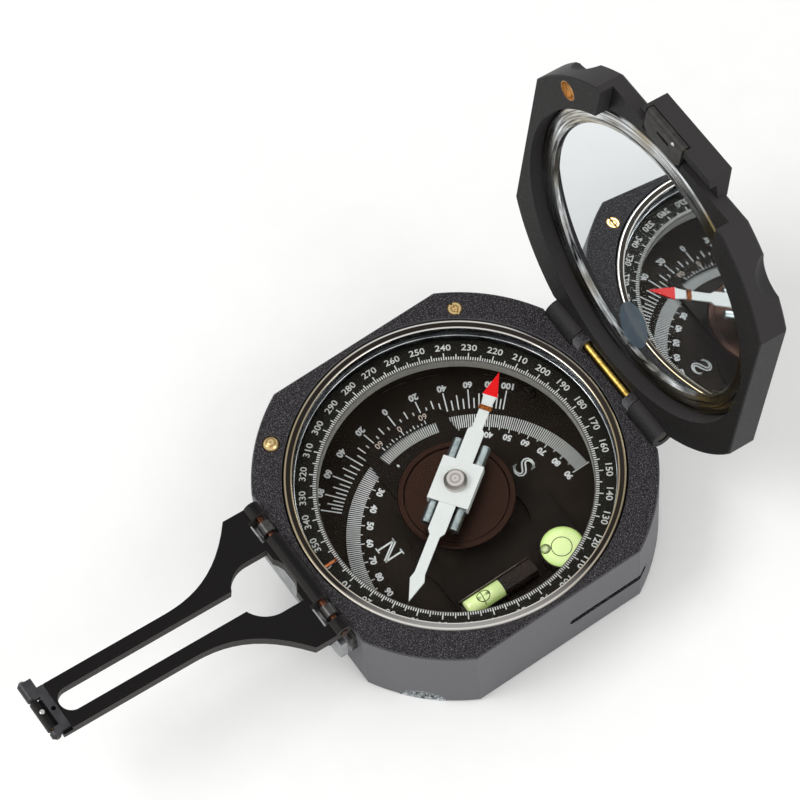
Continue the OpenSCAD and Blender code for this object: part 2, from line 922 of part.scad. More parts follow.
module arm_hinge_pin() {
    color("#b5683f") rod_x(arm_pin_r, -root_half + 0.1, root_half - 0.1, arm_y, arm_z);
}

// Sighting arm: flared root with two hinge windows, forked opening and a long slot.
// In its own frame the hinge line is at zero and the arm runs towards -Y.
module arm_outline() {
    flare = [
        for (i = [0:12])
            let (t = i / 12)
            [blade_half + (root_half - blade_half) * pow(1 - t, flare_power), -shoulder - flare_len * t]
    ];
    half = concat([[root_half, 0]], flare, [[blade_half, 1.2 - arm_len]]);
    polygon(concat(half, [for (i = [len(half) - 1:-1:0]) [-half[i][0], half[i][1]]]));
}

module arm_openings() {
    mirrored_x() translate([window_x[0], -2.6]) square([window_x[1] - window_x[0], 2.6 + past]);
    translate([-fork_half, -cross_bar - fork_side]) square([2 * fork_half, fork_side]);
    translate([0, -cross_bar - fork_side]) polygon(oval(fork_half, fork_round, 48));
    translate([-slot_half, slot_half - slot_end]) square([2 * slot_half, slot_end - slot_half - 10]);
    translate([0, slot_half - slot_end]) circle(slot_half);
}

module sighting_arm() {
    low = arm_top - arm_z - arm_t;
    tip_z = low + arm_t / 2;
    color("#1c1a1a") arm_frame() difference() {
        union() {
            translate([0, 0, low]) linear_extrude(arm_t) difference() {
                arm_outline();
                arm_openings();
            }
            mirrored_x() rod_x(arm_barrel_r, window_x[1], root_half, 0, 0);
            rod_x(arm_barrel_r, -window_x[0], window_x[0], 0, 0);
            rod_x(tip_barrel_r, -tip_knuckle, tip_knuckle, -arm_len, tip_z);
            box(-tip_knuckle, tip_knuckle, -arm_len, 1.3 - arm_len, low, tip_z);
        }
        rod_x(arm_pin_r + fit, -2 * root_half, 2 * root_half, 0, 0);
        rod_x(tip_pin_r, -2 * tip_knuckle, 2 * tip_knuckle, -arm_len, tip_z);
        translate([0, -arm_len, low + arm_t])
            box(-root_half, root_half, 0.5, tip_rebate_end, -tip_rebate, past);
        mirrored_x() rod_x(tip_barrel_r + 0.12, tip_knuckle, root_half, -arm_len, tip_z);
    }
}

// A round bar along X with bevelled ends
module bevelled_bar(r, x0, x1, y, z, bevel) {
    long = x1 - x0;
    translate([x0, y, z]) rotate([0, 90, 0]) rotate_extrude() polygon([
        [0, 0],
        [r - bevel, 0],
        [r, bevel],
        [r, long - bevel],
        [r - bevel, long],
        [0, long]
    ]);
}

// Small folded leaf that wraps the arm's tip: two round knuckles, a plate behind them with
// a peep hole, and a finger tab beyond the left side
module arm_sight() {
    low = arm_top - arm_z - arm_t;
    tip_z = low + arm_t / 2;
    leaf_low = low + arm_t - tip_leaf_t;
    leaf_high = leaf_low + tip_leaf_t;
    tab = blade_half + tip_tab;
    knuckle = tip_knuckle + tip_split;
    color("#9fa1a4") arm_frame() translate([0, -arm_len, 0]) difference() {
        union() {
            bevelled_bar(tip_barrel_r, -tab, -knuckle, 0, tip_z, tip_bevel);
            bevelled_bar(tip_barrel_r, knuckle, blade_half, 0, tip_z, tip_bevel);
            box(tip_bevel - tab, -knuckle, 0, 1.8, leaf_low, leaf_high);
            box(knuckle, blade_half - tip_bevel, 0, 1.8, leaf_low, leaf_high);
            box(-blade_half, blade_half - tip_bevel, 1.3, tip_rebate_end - 0.1, leaf_low, leaf_high);
        }
        rod_x(tip_pin_r + fit, -blade_half - fit, 2 * blade_half, 0, tip_z);
        translate([0, 2.2, 0]) disc(0.5, -past - arm_t, past + arm_t);
    }
}

module arm_sight_pin() {
    tip_z = arm_top - arm_z - arm_t / 2;
    color("#c9a45a") arm_frame() rod_x(tip_pin_r, -blade_half, blade_half - 0.1, -arm_len, tip_z);
}

// Lid shell: recess for the mirror, notch for the arm, end block and hinge barrels
module lid_shell() {
    color("#3a3836") lid_frame() difference() {
        union() {
            plan_block(rim_z, lid_top, 0.25, edge_chamfer);
            mirrored_x() lid_barrel();
            end_block();
        }
        disc(lid_bore, 0, lid_floor);
        box(-notch_half, notch_half, -2 * flat, -lid_bore + 7, 0, notch_top);
        translate([sight_x, 0, 0]) {
            half = sight_half + free_gap;
            box(-half, half, -2 * flat, -sight_in + 0.1, 0, sight_z + sight_t + free_gap);
            rod_x(sight_barrel_r + free_gap / 2, -half, half, sight_pin_y, sight_pin_z);
        }
        translate([oval_x, oval_y, lid_floor - past]) linear_extrude(2 * lid_t)
            polygon(oval(oval_a - 0.4, oval_b - 0.4, 48));
        rod_x(barrel_r + 0.25, -barrel_x[0], barrel_x[0], hinge_y, hinge_z);
        rod_x(hinge_pin_r + fit, -2 * flat, 2 * flat, hinge_y, hinge_z);
        at_lift_pin() disc(pad_r, 0, rim_z + pad_depth + pad_t);
        for (side = [-1, 1]) rotate([0, 0, -90 + 45 * side]) corner_scallop(lid_top + scallop_off);
        sight_pin_rod();
    }
}

module sight_pin_rod() {
    reach = block_half[1] - 0.6;
    rod_x(sight_pin_r, block_x - reach, block_x + reach, sight_pin_y, sight_pin_z);
}

module lid_barrel() {
    rod_x(barrel_r, barrel_x[0], barrel_x[1], hinge_y, hinge_z);
    rotate([90, 0, 90]) translate([0, 0, barrel_x[0]]) linear_extrude(barrel_x[1] - barrel_x[0]) polygon([
        [flat - 1, rim_z],
        [hinge_y, rim_z],
        [hinge_y + barrel_r * cos(50), rim_z + barrel_r * sin(50)],
        [flat, rim_z + barrel_r + 2.4],
        [flat - 1, rim_z + barrel_r + 2.4]
    ]);
}

module end_block() {
    low = lid_top + block_rise - block_h;
    intersection() {
        rotate([90, 0, 90]) linear_extrude(4 * block_half[0], center = true) union() {
            polygon([
                [-flat + 1.5, lid_top - 0.3],
                [-flat, lid_top],
                [-flat - block_out, lid_top + block_rise],
                [-flat - block_out, low],
                [-flat, low - 0.3],
                [-flat + 1.5, low - 0.3]
            ]);
            polygon([
                [sight_pin_y - 1, low],
                [sight_pin_y - 1, sight_pin_z - 0.9],
                [sight_pin_y + 1, sight_pin_z - 0.9],
                [sight_pin_y + 1, low]
            ]);
        }
        translate([block_x, 0, low - 2]) linear_extrude(3 * block_h) polygon([
            [-block_half[0], -flat + 2],
            [-block_half[0], -flat],
            [-block_half[1], -flat - block_out],
            [block_half[1], -flat - block_out],
            [block_half[0], -flat],
            [block_half[0], -flat + 2]
        ]);
    }
}

module lid_mirror() {
    color("#cfd4d8") lid_frame() difference() {
        disc(mirror_r, mirror_z, lid_floor);
        translate([oval_x, oval_y, 0]) linear_extrude(2 * lid_top) polygon(oval(oval_a, oval_b, 48));
    }
}

module mirror_ring() {
    color("#c4c7ca") lid_frame() rotate_extrude() polygon([
        [mirror_ring_in, mirror_z],
        [mirror_ring_in + 0.3, mirror_z - mirror_ring_t],
        [lid_bore - 0.5, mirror_z - mirror_ring_t],
        [lid_bore - fit, mirror_z - mirror_ring_t + 0.4],
        [lid_bore - fit, lid_floor],
        [mirror_r + fit, lid_floor],
        [mirror_r + fit, mirror_z]
    ]);
}

module sight_window() {
    color("#5f6d78", 0.4) lid_frame() translate([oval_x, oval_y, mirror_z]) linear_extrude(mirror_t)
        polygon(oval(oval_a, oval_b, 48));
}

module lid_pad() {
    color("#c9a45a") lid_frame() at_lift_pin()
        disc(pad_r, rim_z + pad_depth, rim_z + pad_depth + pad_t);
}

// Small sight leaf folded flat under the end block, with its long peep slot
module lid_sight() {
    corner = 1.4;
    slot = 1.4;
    slot_r = 0.45;
    slot_y = -sight_in - 3.2;
    color("#6f6d6b") lid_frame() translate([sight_x, 0, 0]) difference() {
        union() {
            translate([0, 0, sight_z]) linear_extrude(sight_t) polygon([
                [-sight_half, sight_pin_y],
                [-sight_half, -sight_in - corner],
                [corner - sight_half, -sight_in],
                [sight_half - corner, -sight_in],
                [sight_half, -sight_in - corner],
                [sight_half, sight_pin_y]
            ]);
            rod_x(sight_barrel_r, -sight_half, sight_half, sight_pin_y, sight_pin_z);
        }
        rod_x(sight_pin_r + fit, -2 * sight_half, 2 * sight_half, sight_pin_y, sight_pin_z);
        box(-slot, slot, slot_y - slot_r, slot_y + slot_r, 0, 2 * lid_top);
        for (side = [-1, 1]) translate([side * slot, slot_y, 0]) disc(slot_r, 0, 2 * lid_top);
    }
}

module lid_sight_pin() {
    color("#c9a45a") lid_frame() sight_pin_rod();
}

module lid_hinge_pin() {
    color("#c9a45a") rod_x(hinge_pin_r, -barrel_x[1] + 0.2, barrel_x[1] - 0.2, hinge_y, hinge_z);
}

case_body();
dial_plate();
dial_screw(-1);  // dial_screw_1
dial_screw(1);  // dial_screw_2
damping_cup();
needle_pivot();
lever_pin();
crystal_seat_ring();
crystal();
bezel();
index_pin();
graduated_ring();
declination_pinion();
declination_screw();
lift_pin();
lift_spring();
lifter_lever();
lift_sleeve();
needle_blade();
needle_carrier();
needle_hub();
needle_magnet(-1);  // needle_magnet_1
needle_magnet(1);  // needle_magnet_2
needle_weight();
clinometer_arm();
clinometer_shaft();
clinometer_lever();
tube_level_cradle();
tube_level_vial();
round_level_cup();
round_level_glass();
arm_bracket();
arm_detent_spring();
bracket_screw(-1);  // bracket_screw_1
bracket_screw(1);  // bracket_screw_2
arm_hinge_pin();
sighting_arm();
arm_sight();
arm_sight_pin();
lid_shell();
lid_mirror();
mirror_ring();
sight_window();
lid_pad();
lid_sight();
lid_sight_pin();
lid_hinge_pin();
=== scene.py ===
"""Looks of a pocket transit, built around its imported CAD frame.

The frame brings every solid piece. This file gives the pieces their finishes and adds what is
printed, wound or filled: the degree ring's scale, the dial's percent and degree scales, the
vernier, the balance coil, the bubbles, the rivets, the sight line under the mirror and the lips of
the finger scallops. Seven CAD pieces are hidden by finer ones in the same places. It is laid out as
an add-on and run as a script. Sizes in the geometry code are in millimetres, and the constants'
angles are in degrees.
"""

import math

import bmesh
import bpy
from mathutils import Matrix, Vector


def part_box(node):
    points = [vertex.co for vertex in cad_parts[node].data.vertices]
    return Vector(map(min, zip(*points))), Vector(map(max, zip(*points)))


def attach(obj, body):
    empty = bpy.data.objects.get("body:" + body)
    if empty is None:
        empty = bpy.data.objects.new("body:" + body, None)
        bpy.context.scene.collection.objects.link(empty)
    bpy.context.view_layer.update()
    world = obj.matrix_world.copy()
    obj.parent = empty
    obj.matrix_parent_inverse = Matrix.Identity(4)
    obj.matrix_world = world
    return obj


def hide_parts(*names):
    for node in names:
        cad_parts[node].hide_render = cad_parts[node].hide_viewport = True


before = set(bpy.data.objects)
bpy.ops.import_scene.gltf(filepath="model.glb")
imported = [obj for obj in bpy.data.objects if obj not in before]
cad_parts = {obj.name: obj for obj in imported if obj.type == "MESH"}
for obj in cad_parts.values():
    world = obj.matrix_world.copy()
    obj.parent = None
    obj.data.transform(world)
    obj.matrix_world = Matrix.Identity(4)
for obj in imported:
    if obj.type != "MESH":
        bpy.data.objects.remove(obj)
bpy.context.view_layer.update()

bl_info = {
    "name": "Pocket transit looks",
    "version": (1, 0, 0),
    "blender": (4, 5, 0),
    "location": "3D View > Sidebar > Transit",
    "description": "Scales, levels, glass and finishes of a pocket transit, with a plain stage",
    "category": "Add Mesh",
}

MM = 0.001


def node_top(node):
    """Highest point of a CAD node at rest, in millimetres."""
    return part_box(node)[1].z / MM


RING_FACE = node_top("graduated_ring")
DIAL_FACE = node_top("dial_plate")
VERNIER_FACE = node_top("clinometer_arm")
# Printed lines start this far under their surface, so that no gap shows beneath them
SUNK = 0.01
CLINOMETER_AXIS = (7.5, 0)
NEEDLE_TURN = 125.3
LID_TURN = 98.73
LID_HINGE = Vector((0, 37.12, 20.75))
ARM_TURN = 7.37
ARM_HINGE = Vector((-0.33, -36.9, 21.55))
LIFT_PIN = (-26.18, -25.82)
SETTING_SCREW = (-29.624, 20.666)
# The balls that cut the finger scallops: how far out they lie, their height and their radius
SCALLOP_OUT, SCALLOP_HEIGHT, SCALLOP_RADIUS = 31.48, -1.5, 7
# Tube level: a vial along Y, and the middle of its bubble
TUBE_X, TUBE_Z, TUBE_RADIUS, TUBE_MIDDLE = 20.65, 7.65, 1.75, -8.1
# Round level: a glass with a domed top, the dome's rim height and its radius of curvature
ROUND_X, ROUND_Y, ROUND_RADIUS, DOME_RIM, DOME_CURVE = 21.0, 10.65, 4.35, 9.35, 24
# Size of the paint's wrinkles
WRINKLE = 0.3

# From the shut lid's coordinates and the flat arm's coordinates to where they stand at rest
OPEN_LID = (
    Matrix.Translation(LID_HINGE)
    @ Matrix.Rotation(math.radians(-LID_TURN), 4, "X")
    @ Matrix.Translation(-LID_HINGE)
)
RAISED_ARM = Matrix.Translation(ARM_HINGE) @ Matrix.Rotation(math.radians(-ARM_TURN), 4, "X")
NEEDLE_PLACE = Matrix.Rotation(math.radians(NEEDLE_TURN), 4, "Z")
LID_UP = (OPEN_LID.to_3x3() @ Vector((0, 0, -1))).normalized()


def linear(code):
    """A #rrggbb colour as linear red, green, blue and alpha."""
    parts = [int(code[i : i + 2], 16) / 255 for i in (1, 3, 5)]
    return tuple(c / 12.92 if c <= 0.04045 else ((c + 0.055) / 1.055) ** 2.4 for c in parts) + (1.0,)


def shades(colour, factor):
    """The same colour, darker or lighter."""
    return tuple(min(1.0, c * factor) for c in tuple(colour)[:3]) + (1.0,)


def add_node(tree, kind, settings=None, inputs=None):
    """Adds a node with its settings. Each input goes by name or number, among those in use.

    It is a value, or the output socket that feeds it, or a node, which stands for its first
    output in use.
    """
    made = tree.nodes.new("ShaderNode" + kind)
    for name, value in (settings or {}).items():
        setattr(made, name, value)
    for name, value in (inputs or {}).items():
        into = made.inputs[name]
        if isinstance(name, str):
            into = next(s for s in made.inputs if s.name == name and s.enabled)
        if isinstance(value, bpy.types.Node):
            value = next(s for s in value.outputs if s.enabled)
        if isinstance(value, bpy.types.NodeSocket):
            tree.links.new(value, into)
        else:
            into.default_value = value
    return made


def new_material(name):
    """A node material with nothing in it yet, and its tree."""
    made = bpy.data.materials.new(name)
    made.use_nodes = True
    made.node_tree.nodes.clear()
    return made, made.node_tree


def finish_material(made, tree, shader):
    """Links the last shader to the surface."""
    add_node(tree, "OutputMaterial", None, {"Surface": shader})
    return made


def per_mm(size):
    """The texture scale that gives a pattern of that size in millimetres."""
    return 1 / (size * MM)


def seen_directly(tree):
    """1 for what the camera sees, straight or in metal and through glass, and 0 for light that falls."""
    ray = add_node(tree, "LightPath")
    seen = add_node(tree, "Math", {"operation": "MAXIMUM"},
            {0: ray.outputs["Is Camera Ray"], 1: ray.outputs["Is Glossy Ray"]})
    return add_node(tree, "Math", {"operation": "MAXIMUM"},
            {0: seen, 1: ray.outputs["Is Transmission Ray"]})


def angles(steps):
    """Evenly spaced angles round a full turn, in radians."""
    return [2 * math.pi * i / steps for i in range(steps)]


def between(near, far, share):
    """A point on the way from one point to another."""
    return [a + (b - a) * share for a, b in zip(near, far)]


# ---------------------------------------------------------------- meshes, in millimetres


def plate(outline, low, high):
    """A flat closed piece with that outline between two heights."""
    n = len(outline)
    points = [(x, y, z) for z in (low, high) for x, y in outline]
    sides = [(i, (i + 1) % n, n + (i + 1) % n, n + i) for i in range(n)]
    return points, [tuple(range(n - 1, -1, -1)), tuple(range(n, 2 * n)), *sides]


def radial_bar(angle, near, far, width, low, high, centre=(0, 0)):
    """A scale line that points away from a centre."""
    c, s = math.cos(math.radians(angle)), math.sin(math.radians(angle))
    corners = [(near, -width / 2), (far, -width / 2), (far, width / 2), (near, width / 2)]
    return plate([(centre[0] + r * c - w * s, centre[1] + r * s + w * c) for r, w in corners], low, high)


def ribbon(points, widths, low, high):
    """A stroke of varying width along a line of points."""
    left, right = [], []
    for i, (x, y) in enumerate(points):
        ax, ay = points[max(i - 1, 0)]
        bx, by = points[min(i + 1, len(points) - 1)]
        long = math.hypot(bx - ax, by - ay)
        nx, ny = (ay - by) / long, (bx - ax) / long
        w = (widths[i] if isinstance(widths, (list, tuple)) else widths) / 2
        left.append((x + nx * w, y + ny * w))
        right.append((x - nx * w, y - ny * w))
    return plate(right + left[::-1], low, high)


def turned(profile, steps=48, ring=False):
    """A piece turned round Z from a profile of (radius, height), which is closed for a ring."""
    points = [(r * math.cos(a), r * math.sin(a), z) for a in angles(steps) for r, z in profile]
    n = len(profile)
    faces = [
        (i * n + j, (i + 1) % steps * n + j, (i + 1) % steps * n + (j + 1) % n, i * n + (j + 1) % n)
        for i in range(steps)
        for j in range(n if ring else n - 1)
    ]
    return points, faces


def swept(line, radius, sides=8, closed=False):
    """A round wire along a line of points."""
    n = len(line)
    line = [Vector(p) for p in line]
    points, up = [], None
    for i, p in enumerate(line):
        ahead = line[(i + 1) % n] if closed or i < n - 1 else p
        behind = line[i - 1] if closed or i > 0 else p
        along = (ahead - behind).normalized()
        if up is None:
            up = along.orthogonal().normalized()
        up = (up - along * up.dot(along)).normalized()
        side = along.cross(up)
        points += [p + radius * (math.cos(a) * up + math.sin(a) * side) for a in angles(sides)]
    rings = n if closed else n - 1
    faces = [
        (i * sides + k, i * sides + (k + 1) % sides, j * sides + (k + 1) % sides, j * sides + k)
        for i, j in ((i, (i + 1) % n) for i in range(rings))
        for k in range(sides)
    ]
    if not closed:
        faces += [tuple(range(sides - 1, -1, -1)), tuple(range((n - 1) * sides, n * sides))]
    return points, faces


def lens_on(rim, top, bottom):
    """A closed thin lens between a rim and two points."""
    n = len(rim)
    upper = [(0, 2 + i, 2 + (i + 1) % n) for i in range(n)]
    lower = [(1, 2 + (i + 1) % n, 2 + i) for i in range(n)]
    return [top, bottom, *rim], upper + lower


def lofted(loops):
    """A closed body through a row of loops that have the same number of points."""
    n, last = len(loops[0]), len(loops) - 1
    faces = [
        (i * n + j, (i + 1) * n + j, (i + 1) * n + (j + 1) % n, i * n + (j + 1) % n)
        for i in range(last)
        for j in range(n)
    ]
    ends = [tuple(range(n - 1, -1, -1)), tuple(range(last * n, last * n + n))]
    return [p for loop in loops for p in loop], faces + ends


def moved(part, matrix):
    """The same mesh in another place."""
    return [tuple(matrix @ Vector(p)) for p in part[0]], part[1]


LETTERING = {}


def lettering(text, height, low, high, weight=0.0, stretch=1.0):
    """Figures of the built-in font as a thin closed mesh, centred, with that height."""
    key = (text, weight)
    if key not in LETTERING:
        curve = bpy.data.curves.new("lettering", "FONT")
        # The depth only tells the upper points from the lower ones, further down
        curve.body, curve.offset, curve.extrude, curve.resolution_u = text, weight, 0.01, 3
        holder = bpy.data.objects.new("lettering", curve)
        mesh = bpy.data.meshes.new_from_object(holder)
        points = [tuple(v.co) for v in mesh.vertices]
        faces = [tuple(f.vertices) for f in mesh.polygons]
        if not points:
            raise RuntimeError(f"the font gave no mesh for {text!r}")
        bpy.data.objects.remove(holder)
        bpy.data.curves.remove(curve)
        bpy.data.meshes.remove(mesh)
        spans = [(min(p[k] for p in points), max(p[k] for p in points)) for k in (0, 1)]
        LETTERING[key] = points, faces, spans
    points, faces, ((x0, x1), (y0, y1)) = LETTERING[key]
    k = height / (y1 - y0)
    middle_x, middle_y = (x0 + x1) / 2, (y0 + y1) / 2
    placed = [
        ((x - middle_x) * k * stretch, (y - middle_y) * k, high if z > 0 else low) for x, y, z in points
    ]
    return placed, faces


def figure_at(part, angle, radius, tops_out, centre=(0, 0)):
    """Puts figures on a circle, with their tops away from its centre or towards it."""
    turn = angle - 90 if tops_out else angle + 90
    a = math.radians(angle)
    place = Matrix.Translation((centre[0] + radius * math.cos(a), centre[1] + radius * math.sin(a), 0))
    return moved(part, place @ Matrix.Rotation(math.radians(turn), 4, "Z"))


def make_piece(name, parts, material, body, smooth=False, place=None):
    """Joins parts into one piece that rides on a body, without doubled points or faces inside."""
    points, faces = [], []
    for part_points, part_faces in parts:
        start = len(points)
        points += [tuple((place @ Vector(p) if place else Vector(p)) * MM) for p in part_points]
        faces += [tuple(start + i for i in face) for face in part_faces]
    mesh = bpy.data.meshes.new(name)
    mesh.from_pydata(points, [], faces)
    mesh.validate()
    shell = bmesh.new()
    shell.from_mesh(mesh)
    bmesh.ops.remove_doubles(shell, verts=shell.verts, dist=1e-8)
    inside = [f for f in shell.faces if all(len(e.link_faces) > 2 for e in f.edges)]
    bmesh.ops.delete(shell, geom=inside, context="FACES_ONLY")
    bmesh.ops.recalc_face_normals(shell, faces=shell.faces)
    shell.to_mesh(mesh)
    shell.free()
    mesh.materials.append(material)
    if smooth:
        mesh.shade_smooth()
    mesh.update()
    piece = bpy.data.objects.new(name, mesh)
    bpy.context.scene.collection.objects.link(piece)
    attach(piece, body)
    return piece


def dress(material, *nodes):
    """Puts a finish on CAD nodes."""
    for name in nodes:
        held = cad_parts[name]
        if not held.material_slots:
            held.data.materials.append(material)
        for place in held.material_slots:
            place.material = material


# ---------------------------------------------------------------- finishes


def wrinkle_paint(name, colour, painted_glint, side, up, relief=0.55, specular=0.1, thumbed=(), least=0.22):
    # Black powder paint baked to a fine wrinkle on cast aluminium: matt, with small glints painted
    # in as highlights on the faces square on to up, and a smoother grey sheen painted into the
    # colour of the other faces, where the light grazes them.
    made, tree = new_material(name)
    place = add_node(tree, "TexCoord")
    facing = add_node(tree, "VectorMath", {"operation": "DOT_PRODUCT"},
            {0: place.outputs["Normal"], 1: tuple(up)})
    either_way = add_node(tree, "Math", {"operation": "ABSOLUTE"}, {0: facing})
    faces_up = add_node(tree, "MapRange", None, {"Value": either_way, "From Min": 0.35, "From Max": 0.95})
    wrinkle = add_node(tree, "TexNoise", None,
            {"Vector": place.outputs["Object"], "Scale": per_mm(WRINKLE), "Detail": 3.0, "Roughness": 0.6})
    # Painted glints: the real ones are about 0.1 mm, drawn at 0.22 mm so that they show
    fleck = add_node(tree, "TexNoise", None,
            {"Vector": place.outputs["Object"], "Scale": per_mm(0.22), "Detail": 1.0, "Roughness": 0.5})
    bright = add_node(tree, "MapRange", None, {"Value": fleck, "From Min": 0.59, "From Max": 0.76})
    mottle = add_node(tree, "MapRange", None,
            {"Value": wrinkle, "From Min": 0.44, "From Max": 0.66, "To Max": 0.2})
    lit = add_node(tree, "Math", {"operation": "MAXIMUM"}, {0: bright, 1: mottle})
    sprayed = add_node(tree, "MapRange", None, {"Value": faces_up, "To Min": least, "To Max": 1.0})
    share = add_node(tree, "Math", {"operation": "MULTIPLY"}, {0: lit, 1: sprayed})
    # Painted sheen: the faces square on to up take the paint's colour, the others the lighter side tone
    ground = add_node(tree, "Mix", {"data_type": "RGBA"}, {"Factor": faces_up, "A": side, "B": colour})
    tone = add_node(tree, "Mix", {"data_type": "RGBA"}, {"Factor": share, "A": ground, "B": painted_glint})
    # Finger scallops, where thumbs have worn the paint to bare grey metal in the hollows
    rubbed = add_node(tree, "Mix", {"data_type": "RGBA"},
            {"Factor": wrinkle, "A": linear("#3c4144"), "B": linear("#c8ced0")})
    for centre, radius in thumbed:
        away = add_node(tree, "VectorMath", {"operation": "DISTANCE"},
                {0: place.outputs["Object"], 1: tuple(c * MM for c in centre)})
        inside = add_node(tree, "MapRange", None,
                {"Value": away, "From Min": (radius + 0.12) * MM, "From Max": (radius + 0.04) * MM})
        tone = add_node(tree, "Mix", {"data_type": "RGBA"}, {"Factor": inside, "A": tone, "B": rubbed})
    dull = add_node(tree, "MapRange", None,
            {"Value": wrinkle, "From Min": 0.3, "From Max": 0.7, "To Min": 0.36, "To Max": 0.6})
    height = add_node(tree, "Math", {"operation": "MULTIPLY"}, {0: wrinkle, 1: sprayed})
    bump = add_node(tree, "Bump", None, {"Strength": relief, "Distance": 0.06 * MM, "Height": height})
    shader = add_node(tree, "BsdfPrincipled", None,
            {"Base Color": tone, "Roughness": dull, "Specular IOR Level": specular, "Normal": bump})
    return finish_material(made, tree, shader)


def grained(name, colour, other, patch, grain, roughness, bump, metallic=0.0, specular=0.4, rubbed=None):
    """A surface whose tone wanders between two colours in patches of a real size, with a fine grain.

    rubbed is the direction of a crest given a painted highlight, and the painted shade tone everywhere
    else.
    """
    made, tree = new_material(name)
    place = add_node(tree, "TexCoord")
    clouds = add_node(tree, "TexNoise", None,
            {"Vector": place.outputs["Object"], "Scale": per_mm(patch), "Detail": 2.0})
    blend = add_node(tree, "MapRange", None, {"Value": clouds, "From Min": 0.35, "From Max": 0.7})
    tone = add_node(tree, "Mix", {"data_type": "RGBA"}, {"Factor": blend, "A": colour, "B": other})
    if rubbed:
        crest, painted_shade_tone = rubbed
        # Painted highlight: a bright strip where the normal faces the crest, and painted shade elsewhere
        facing = add_node(tree, "VectorMath", {"operation": "DOT_PRODUCT"},
                {0: place.outputs["Normal"], 1: crest})
        hand = add_node(tree, "MapRange", None, {"Value": facing, "From Min": 0.8, "From Max": 0.98})
        tone = add_node(tree, "Mix", {"data_type": "RGBA"}, {"Factor": hand, "A": painted_shade_tone, "B": tone})
    fine = add_node(tree, "TexNoise", None,
            {"Vector": place.outputs["Object"], "Scale": per_mm(grain), "Detail": 3.0, "Roughness": 0.55})
    dull = add_node(tree, "MapRange", None,
            {"Value": fine, "From Min": 0.3, "From Max": 0.7, "To Min": roughness[0],
            "To Max": roughness[1]})
    relief = add_node(tree, "Bump", None, {"Strength": bump, "Distance": 0.04 * MM, "Height": fine})
    shader = add_node(tree, "BsdfPrincipled", None,
            {"Base Color": tone, "Metallic": metallic, "Roughness": dull,
            "Specular IOR Level": 0.5 if metallic == 1 else specular, "Normal": relief})
    return finish_material(made, tree, shader)


def turned_metal(name, colour, dark, pitch, roughness, bump, axis=(0, 0), metallic=1.0):
    """Metal turned on a lathe: fine circles about an axis, in the tone, the gloss and the relief."""
    made, tree = new_material(name)
    place = add_node(tree, "TexCoord")
    centred = add_node(tree, "Mapping", None,
            {"Vector": place.outputs["Object"], "Location": (-axis[0] * MM, -axis[1] * MM, 0)})
    # The wave texture repeats every 0.314 at a scale of 1
    circles = add_node(tree, "TexWave", {"wave_type": "RINGS", "rings_direction": "Z"},
            {"Vector": centred, "Scale": 0.314 * per_mm(pitch), "Distortion": 0.6, "Detail": 2.0,
            "Detail Scale": 1.5})
    tone = add_node(tree, "Mix", {"data_type": "RGBA"},
            {"Factor": circles.outputs["Fac"], "A": dark, "B": colour})
    dull = add_node(tree, "MapRange", None,
            {"Value": circles.outputs["Fac"], "To Min": roughness[1], "To Max": roughness[0]})
    relief = add_node(tree, "Bump", None,
            {"Strength": bump, "Distance": 0.03 * MM, "Height": circles.outputs["Fac"]})
    shader = add_node(tree, "BsdfPrincipled", None,
            {"Base Color": tone, "Metallic": metallic, "Roughness": dull, "Normal": relief})
    return finish_material(made, tree, shader)


def brushed_ring(chrome, brass, dark, turn, shift):
    # Chromed brass ring, brushed round and round: white and near-black streaks that follow the ring
    # are painted reflection, and broad brass-toned patches are painted reflection of the brass bezel.
    made, tree = new_material("brushed chrome ring with painted reflections")
    place = add_node(tree, "TexCoord")
    centred = add_node(tree, "Mapping", None,
            {"Vector": place.outputs["Object"], "Location": shift, "Rotation": (turn, 0, 0)})
    # Streaks: noise that is 0.6 mm across the ring and some 12 mm long round it
    flat = add_node(tree, "VectorMath", {"operation": "MULTIPLY"}, {0: centred, 1: (1, 1, 0)})
    radius = add_node(tree, "VectorMath", {"operation": "LENGTH"}, {0: flat})
    across = add_node(tree, "Math", {"operation": "MULTIPLY"}, {0: radius, 1: per_mm(0.6)})
    round_it = add_node(tree, "VectorMath", {"operation": "NORMALIZE"}, {0: flat})
    stretched = add_node(tree, "VectorMath", {"operation": "MULTIPLY"}, {0: round_it, 1: (2.3, 2.3, 0)})
    height = add_node(tree, "CombineXYZ", None, {"Z": across})
    spot = add_node(tree, "VectorMath", {"operation": "ADD"}, {0: stretched, 1: height})
    streaks = add_node(tree, "TexNoise", None,
            {"Vector": spot, "Scale": 1.0, "Detail": 3.0, "Roughness": 0.65})
    broad = add_node(tree, "TexNoise", None, {"Vector": centred, "Scale": per_mm(17), "Detail": 1.0})
    kept = add_node(tree, "MapRange", None, {"Value": broad, "From Min": 0.42, "From Max": 0.56})
    light = add_node(tree, "Mix", {"data_type": "RGBA"}, {"Factor": kept, "A": brass, "B": chrome})
    # Painted reflection: the streaks swing the tone between near black and the chrome or brass
    reflection_streaks = add_node(tree, "MapRange", None, {"Value": streaks, "From Min": 0.38, "From Max": 0.66})
    tone = add_node(tree, "Mix", {"data_type": "RGBA"}, {"Factor": reflection_streaks, "A": dark, "B": light})
    dull = add_node(tree, "MapRange", None, {"Value": reflection_streaks, "To Min": 0.3, "To Max": 0.12})
    relief = add_node(tree, "Bump", None, {"Strength": 0.5, "Distance": 0.05 * MM, "Height": streaks})
    shader = add_node(tree, "BsdfPrincipled", None,
            {"Base Color": tone, "Metallic": 1.0, "Roughness": dull, "Normal": relief})
    return finish_material(made, tree, shader)


